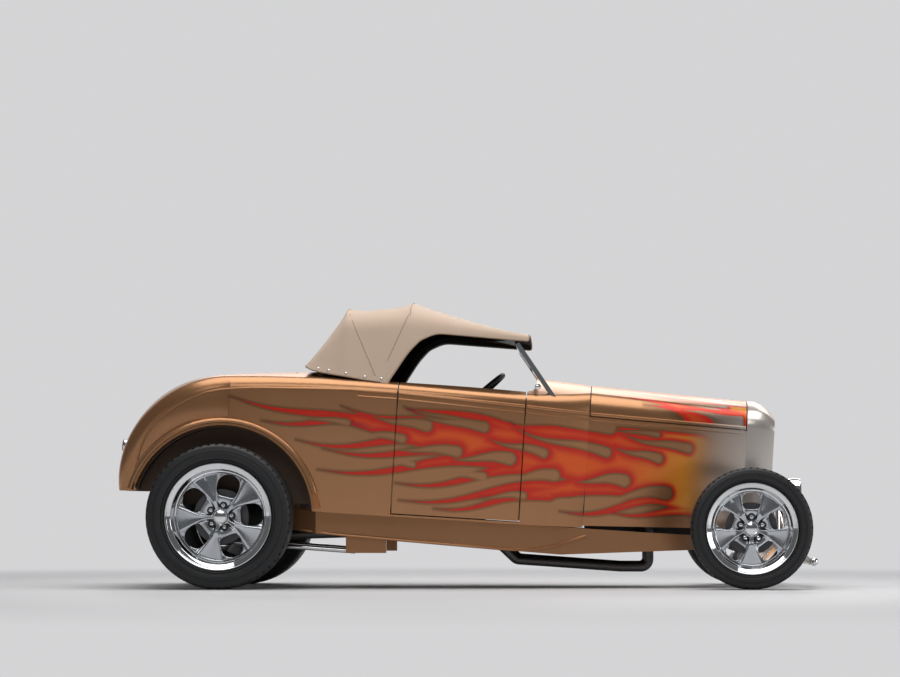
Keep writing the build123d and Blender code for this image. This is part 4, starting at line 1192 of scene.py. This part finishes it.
def top_lines(sag):
    """Cross lines of the fabric top from the header to the rear hem, each right to left."""
    stations = [BOWS[0][0]]
    for count, (front, back) in zip(TOP_SPANS, zip(BOWS, BOWS[1:])):
        stations += [front[0] + (back[0] - front[0]) * k / count for k in range(1, count + 1)]
    lines = []
    for x in stations:
        line = bow_section(x, sag)
        if x >= WINDOW_EDGE[0][0]:
            line = trimmed(line, between(WINDOW_EDGE, x))
        else:
            foot = Vector((x, -line[12][0], line[12][1]))
            aim = Vector((x, -line[0][0], line[0][1])) - foot
            hit, spot, _, _ = NODES["rear_body"].ray_cast(foot, aim.normalized())
            edge = between(HEM_LINE, x)
            line = trimmed(line, max(edge, spot.z + 0.004) if hit else edge)
        half = evenly(line, TOP_COLUMNS // 2 + 1)
        right = [Vector((x, -y, z)) for y, z in half]
        left = [Vector((x, y, z)) for y, z in reversed(half[:-1])]
        lines.append(right + left)
    return lines


class ROADSTER_OT_fabric_top(bpy.types.Operator):
    """Canvas top stretched over its bows, with seams and a hem."""

    bl_idname = "roadster.fabric_top"
    bl_label = "Fabric top"

    def execute(self, context):
        top = context.scene.roadster_top
        lines = top_lines(top.sag)
        rows, columns = len(lines) - 1, len(lines[0]) - 1
        deselect()
        bpy.ops.mesh.primitive_grid_add(x_subdivisions=rows, y_subdivisions=columns, size=1)
        piece = added("fabric_top")
        for vertex in piece.data.vertices:
            row = round((vertex.co.x + 0.5) * rows)
            column = round((vertex.co.y + 0.5) * columns)
            vertex.co = lines[row][column]
        tidy_mesh()
        # The inner face gets the near-black lining, which also stands in as painted shade inside the top.
        coated(piece, "canvas", "lining_painted_shade")
        if sum(face.normal.z for face in piece.data.polygons) < 0:
            edit()
            bpy.ops.mesh.flip_normals()
            bpy.ops.object.mode_set(mode="OBJECT")
        applied(piece, "SOLIDIFY", thickness=top.cloth, offset=-1, material_offset=1)
        smoothed(piece, "chassis", 50)
        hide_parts("soft_top")
        extras = [self.binding(lines), self.seams(top.sag), self.snaps(top.sag)]
        return {"FINISHED"}

    def binding(self, lines):
        """Bound edge all round the fabric."""
        right = [line[0] for line in lines]
        left = [line[-1] for line in reversed(lines)]
        edge = right + lines[-1][2:-2:2] + left + list(reversed(lines[0][2:-2:2]))
        piece = bar_along("top_binding", edge, 0.0042, 2, closed=True)
        return dressed(piece, "binding", "chassis")

    def seams(self, sag):
        """Sewn seams down each quarter and across two bows."""
        bars = []
        for label, start, stop in QUARTER_SEAMS:
            for side, sign in SIDES:
                points = []
                for k in range(13):
                    share = k / 12
                    x = start[0] + (stop[0] - start[0]) * share
                    z = start[1] + (stop[1] - start[1]) * share
                    spot = top_side(x, z, sag)
                    points.append(Vector((x, sign * (spot - 0.0004), z)))
                bars.append(bar_along(f"seam_{label}_{side}", points, SEAM_RADIUS, 2))
        for x in (BOWS[1][0], BOWS[3][0]):
            line = [(y, z) for y, z in bow_section(x, sag) if z > BOW_SEAM_FROM]
            points = [Vector((x, -y, z)) for y, z in line]
            points += [Vector((x, y, z)) for y, z in reversed(line[:-1])]
            bars.append(bar_along("seam_bow", points, SEAM_RADIUS, 2))
        return dressed(joined("top_seams", bars), "binding", "chassis")

    def snaps(self, sag):
        """Press studs along the quarter hems."""
        studs = []
        rows = [(0.0065, 0.0), (0.0065, 0.002), (0.0056, 0.0036), (0.0030, 0.0048), (0.0010, 0.0052)]
        for x, z in SNAPS:
            for side, sign in SIDES:
                spot = Vector((x, sign * (top_side(x, z, sag) - 0.0008), z))
                studs.append(turned("stud", rows, spot, 14, (0, sign, 0.25)))
        return dressed(joined("top_snaps", studs), "chrome", "chassis")


PLEAT_PITCH = 0.083
PLEAT_DEPTH = 0.016
PLEATED_HALF = 0.44


class ROADSTER_OT_seat(bpy.types.Operator):
    """Pleated bench seat."""

    bl_idname = "roadster.seat"
    bl_label = "Bench seat"

    def execute(self, context):
        for node, facing in (("seat_cushion", Vector((0, 0, 1))), ("seat_back", Vector((1, 0, 0.2)))):
            activate(NODES[node])
            bpy.ops.object.duplicate()
            piece = bpy.context.object
            piece.name = piece.data.name = f"pleated_{node}"
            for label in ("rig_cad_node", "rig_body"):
                del piece[label]
            piece.parent = None
            tidy_mesh()
            applied(piece, "REMESH", mode="VOXEL", voxel_size=0.012)
            applied(piece, "SMOOTH", factor=0.5, iterations=14)
            for vertex in piece.data.vertices:
                face_on = max(0.0, vertex.normal.dot(facing.normalized()))
                inside = min(1.0, (PLEATED_HALF - abs(vertex.co.y)) / 0.03)
                if inside > 0:
                    ridge = abs(math.sin(math.pi * vertex.co.y / PLEAT_PITCH)) ** 0.6
                    vertex.co -= vertex.normal * (PLEAT_DEPTH * (1 - ridge) * face_on * inside)
            dressed(piece, "leather", "chassis", 60)
            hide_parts(node)
        return {"FINISHED"}


# Belt moulding: its line in xb and zb, then panel, body, xb from and to
BELT_LINE = [(-0.62, 0.976), (-0.396, 0.974), (0.255, 0.946), (0.581, 0.931), (1.402, 0.914)]
BELT_PANELS = [
    ("rear_body", "chassis", -0.62, -0.402),
    ("door_{side}", "door_{side}", -0.391, 0.250),
    ("cowl", "chassis", 0.260, 0.579),
    ("hood_top", "hood_top", 0.589, 1.394),
]
# Each bead: drop below the belt line, radius
BELT_BEADS = ((0.0, 0.010), (0.030, 0.005))
# How far the lower bead sinks into the body at its rear end
BELT_SINK = (0.016, 0.004)


class ROADSTER_OT_belt_moulding(bpy.types.Operator):
    """Raised bead along the belt line of each panel."""

    bl_idname = "roadster.belt_moulding"
    bl_label = "Belt moulding"

    def execute(self, context):
        for panel, body, start, stop in BELT_PANELS:
            made = {}
            for side, sign in SIDES:
                node = panel.format(side=side)
                for drop, radius in BELT_BEADS:
                    carrier = f"hood_side_{side}" if panel == "hood_top" and drop else node
                    points = []
                    for k in range(17):
                        xb = start + (stop - start) * k / 16
                        zb = between(BELT_LINE, xb) - drop
                        spot = body_side(carrier, xb, zb, sign, radius * 0.35)
                        if spot:
                            points.append(spot)
                    if len(points) < 3:
                        continue
                    if panel == "rear_body" and drop:
                        points.sort(key=lambda spot: spot.x)
                        for point, sink in zip(points, BELT_SINK):
                            point.y -= sign * sink
                    ride_on = "chassis" if carrier.startswith("hood_side") else body.format(side=side)
                    name = f"bead_{carrier}_{side}_{'line' if drop else 'roll'}"
                    made.setdefault((carrier, ride_on), []).append(bar_along(name, points, radius))
            for (carrier, ride_on), pieces in made.items():
                piece = joined(f"belt_bead_{carrier}", pieces)
                dressed(piece, "body_paint", ride_on)
        return {"FINISHED"}


# Tail and apron beads in the car's frame: shoulder x, z, then the arch, then apron x, y, z
SHOULDER_LINE = [
    (-0.556, 1.013), (-0.700, 1.018), (-0.860, 1.021), (-1.080, 1.026), (-1.230, 1.019), (-1.350, 0.996),
    (-1.470, 0.940), (-1.568, 0.868), (-1.634, 0.790), (-1.674, 0.700), (-1.684, 0.640),
]
ARCH_BEAD = {"centre": (-1.235, 0.368), "radius": 0.487, "out": 0.681, "thick": 0.017, "turn": (14, 163)}
APRON_LINE = [
    (-0.855, 0.545, 0.305), (-0.765, 0.5805, 0.287), (-0.40, 0.5800, 0.255), (-0.02, 0.5785, 0.222),
    (0.16, 0.5550, 0.206), (0.29, 0.5340, 0.196), (0.40, 0.5010, 0.206), (0.52, 0.4650, 0.236),
    (0.62, 0.4490, 0.268),
]


class ROADSTER_OT_body_beads(bpy.types.Operator):
    """Raised lines of the tail: shoulder, wheel arch and the edge of the apron."""

    bl_idname = "roadster.body_beads"
    bl_label = "Tail and apron beads"

    def execute(self, context):
        bars = []
        arch = ARCH_BEAD
        first, last = arch["turn"]
        for side, sign in SIDES:
            points = []
            for x, z in SHOULDER_LINE:
                start = Vector((x, sign * 2.0, z))
                hit, spot, _, _ = NODES["rear_body"].ray_cast(start, Vector((0, -sign, 0)))
                if not hit:
                    raise RuntimeError(f"the shoulder line misses the body at {x}")
                points.append(spot - Vector((0, sign * 0.0015, 0)))
            bars.append(bar_along(f"shoulder_{side}", points, 0.0065, 3))
            points = []
            for k in range(33):
                turn = math.radians(first + (last - first) * k / 32)
                x = arch["centre"][0] + arch["radius"] * math.cos(turn)
                z = arch["centre"][1] + arch["radius"] * math.sin(turn)
                points.append(Vector((x, sign * arch["out"], z)))
            bars.append(bar_along(f"arch_{side}", points, arch["thick"], 4))
        dressed(joined("tail_beads", bars), "body_paint", "chassis")
        bars = []
        for side, sign in SIDES:
            points = [Vector((x, sign * y, z)) for x, y, z in APRON_LINE]
            bars.append(bar_along(f"apron_{side}", points, 0.008, 3))
        dressed(joined("apron_beads", bars), "body_paint", "chassis")
        return {"FINISHED"}


# Seam between cowl and hood in the raked frame: xb, zb to look out from, turn from and to
HOOD_SEAM = (0.574, 0.74)
HOOD_SEAM_TURN = (-52, 232)
GASKET_RADIUS = 0.0075
GASKET_SINK = 0.011


class ROADSTER_OT_gaskets(bpy.types.Operator):
    """Dark rubber strip under the seam between the cowl and the hood."""

    bl_idname = "roadster.gaskets"
    bl_label = "Hood gasket"

    def execute(self, context):
        xb, zb = HOOD_SEAM
        middle = raked(xb, 0, zb)
        first, last = HOOD_SEAM_TURN
        points = []
        for k in range(49):
            turn = math.radians(first + (last - first) * k / 48)
            away = raked(0, math.cos(turn), math.sin(turn)) - raked(0, 0, 0)
            hit, spot, _, _ = NODES["cowl"].ray_cast(middle + away * 1.2, -away)
            if hit:
                points.append(spot - away * GASKET_SINK + Vector((0.0055, 0, 0)))
        dressed(bar_along("hood_gasket", points, GASKET_RADIUS, 2), "satin_black", "chassis")
        return {"FINISHED"}


# Turned trim: profiles as radius, out
LAMP_BEZEL = [
    (0.0345, -0.032), (0.0345, -0.010), (0.0320, -0.004), (0.0295, -0.003), (0.0284, -0.008),
    (0.0284, -0.032), (0.0345, -0.032),
]
LAMP_RIM = [
    (0.0700, -0.030), (0.0740, -0.024), (0.0750, -0.008), (0.0730, 0.001), (0.0695, 0.004),
    (0.0665, 0.002), (0.0655, -0.006), (0.0660, -0.030), (0.0700, -0.030),
]
KNOB = [
    (0.006, -0.012), (0.006, 0.006), (0.013, 0.008), (0.0155, 0.013), (0.0145, 0.018),
    (0.0080, 0.0215), (0.0010, 0.0225),
]
# Places on the left side of the car
TAIL_LAMP_PLACE = (-1.7734, 0.400, 0.7371)
TAIL_LAMP_AXIS = (-1, 0, 0.12)
KNOB_PLACE = (0.376, 0.520, 1.032)
COIL_FOOT = (-1.323, 0.433, 0.395)
COIL_HEAD = (-1.283, 0.406, 0.598)
COIL_RADIUS = 0.047
COIL_WIRE = 0.0065


def on_side(place, sign):
    """A place of the left side, or the same on the right."""
    x, y, z = place
    return Vector((x, sign * y, z))


class ROADSTER_OT_brightwork(bpy.types.Operator):
    """Lamp rims, windscreen knobs and coil springs."""

    bl_idname = "roadster.brightwork"
    bl_label = "Brightwork"

    def execute(self, context):
        low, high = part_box("headlamp_lenses")
        reach = (high.z - low.z) / 2
        bezels, rims, knobs, coils = [], [], [], []
        for _, sign in SIDES:
            spot = on_side(TAIL_LAMP_PLACE, sign)
            bezels.append(turned("bezel", LAMP_BEZEL, spot, 48, TAIL_LAMP_AXIS, closed=True))
            spot = (high.x, sign * (high.y - reach), (low.z + high.z) / 2)
            rims.append(turned("rim", LAMP_RIM, spot, 64, (1, 0, 0), closed=True))
            knobs.append(turned("knob", KNOB, on_side(KNOB_PLACE, sign), 28, (0, sign, 0)))
            coils.append(self.coil(on_side(COIL_FOOT, sign), on_side(COIL_HEAD, sign)))
        dressed(joined("tail_lamp_bezels", bezels), "chrome", "chassis")
        dressed(joined("headlamp_rims", rims), "chrome", "chassis")
        dressed(joined("windscreen_knobs", knobs), "chrome", "chassis")
        dressed(joined("coil_springs", coils), "spring_steel", "chassis")
        return {"FINISHED"}

    def coil(self, low, high):
        """Helical spring between two points."""
        line = high - low
        side = line.orthogonal().normalized()
        other = line.cross(side).normalized()
        points = []
        turns, steps = 7, 12
        for k in range(turns * steps + 1):
            angle = math.tau * k / steps
            centre = low + line * (k / (turns * steps))
            points.append(centre + COIL_RADIUS * (math.cos(angle) * side + math.sin(angle) * other))
        return bar_along("coil", points, COIL_WIRE, 2)


class ROADSTER_PT_sidebar(bpy.types.Panel):
    """Buttons for each group of pieces."""

    bl_idname = "ROADSTER_PT_sidebar"
    bl_label = "Roadster"
    bl_space_type = "VIEW_3D"
    bl_region_type = "UI"
    bl_category = "Roadster"

    def draw(self, context):
        for operator in OPERATORS:
            self.layout.operator(operator.bl_idname)
        for name in SETTINGS:
            group = getattr(context.scene, name)
            box = self.layout.box()
            for label in group.__annotations__:
                box.prop(group, label)


SETTINGS = {
    "roadster_paint": ROADSTER_PG_paint,
    "roadster_top": ROADSTER_PG_top,
    "roadster_wheels": ROADSTER_PG_wheels,
    "roadster_stage": ROADSTER_PG_stage,
}
OPERATORS = [
    ROADSTER_OT_stage,
    ROADSTER_OT_panels,
    ROADSTER_OT_tyres,
    ROADSTER_OT_wheels,
    ROADSTER_OT_fabric_top,
    ROADSTER_OT_seat,
    ROADSTER_OT_belt_moulding,
    ROADSTER_OT_body_beads,
    ROADSTER_OT_gaskets,
    ROADSTER_OT_brightwork,
]
CLASSES = [*SETTINGS.values(), *OPERATORS, ROADSTER_PT_sidebar]


def register():
    for cls in CLASSES:
        bpy.utils.register_class(cls)
    for name, cls in SETTINGS.items():
        setattr(bpy.types.Scene, name, bpy.props.PointerProperty(type=cls))


def unregister():
    for name in SETTINGS:
        delattr(bpy.types.Scene, name)
    for cls in reversed(CLASSES):
        bpy.utils.unregister_class(cls)


def main():
    register()
    for operator in OPERATORS:
        family, name = operator.bl_idname.split(".")
        getattr(getattr(bpy.ops, family), name)()
    deselect()


if __name__ == "__main__":
    main()
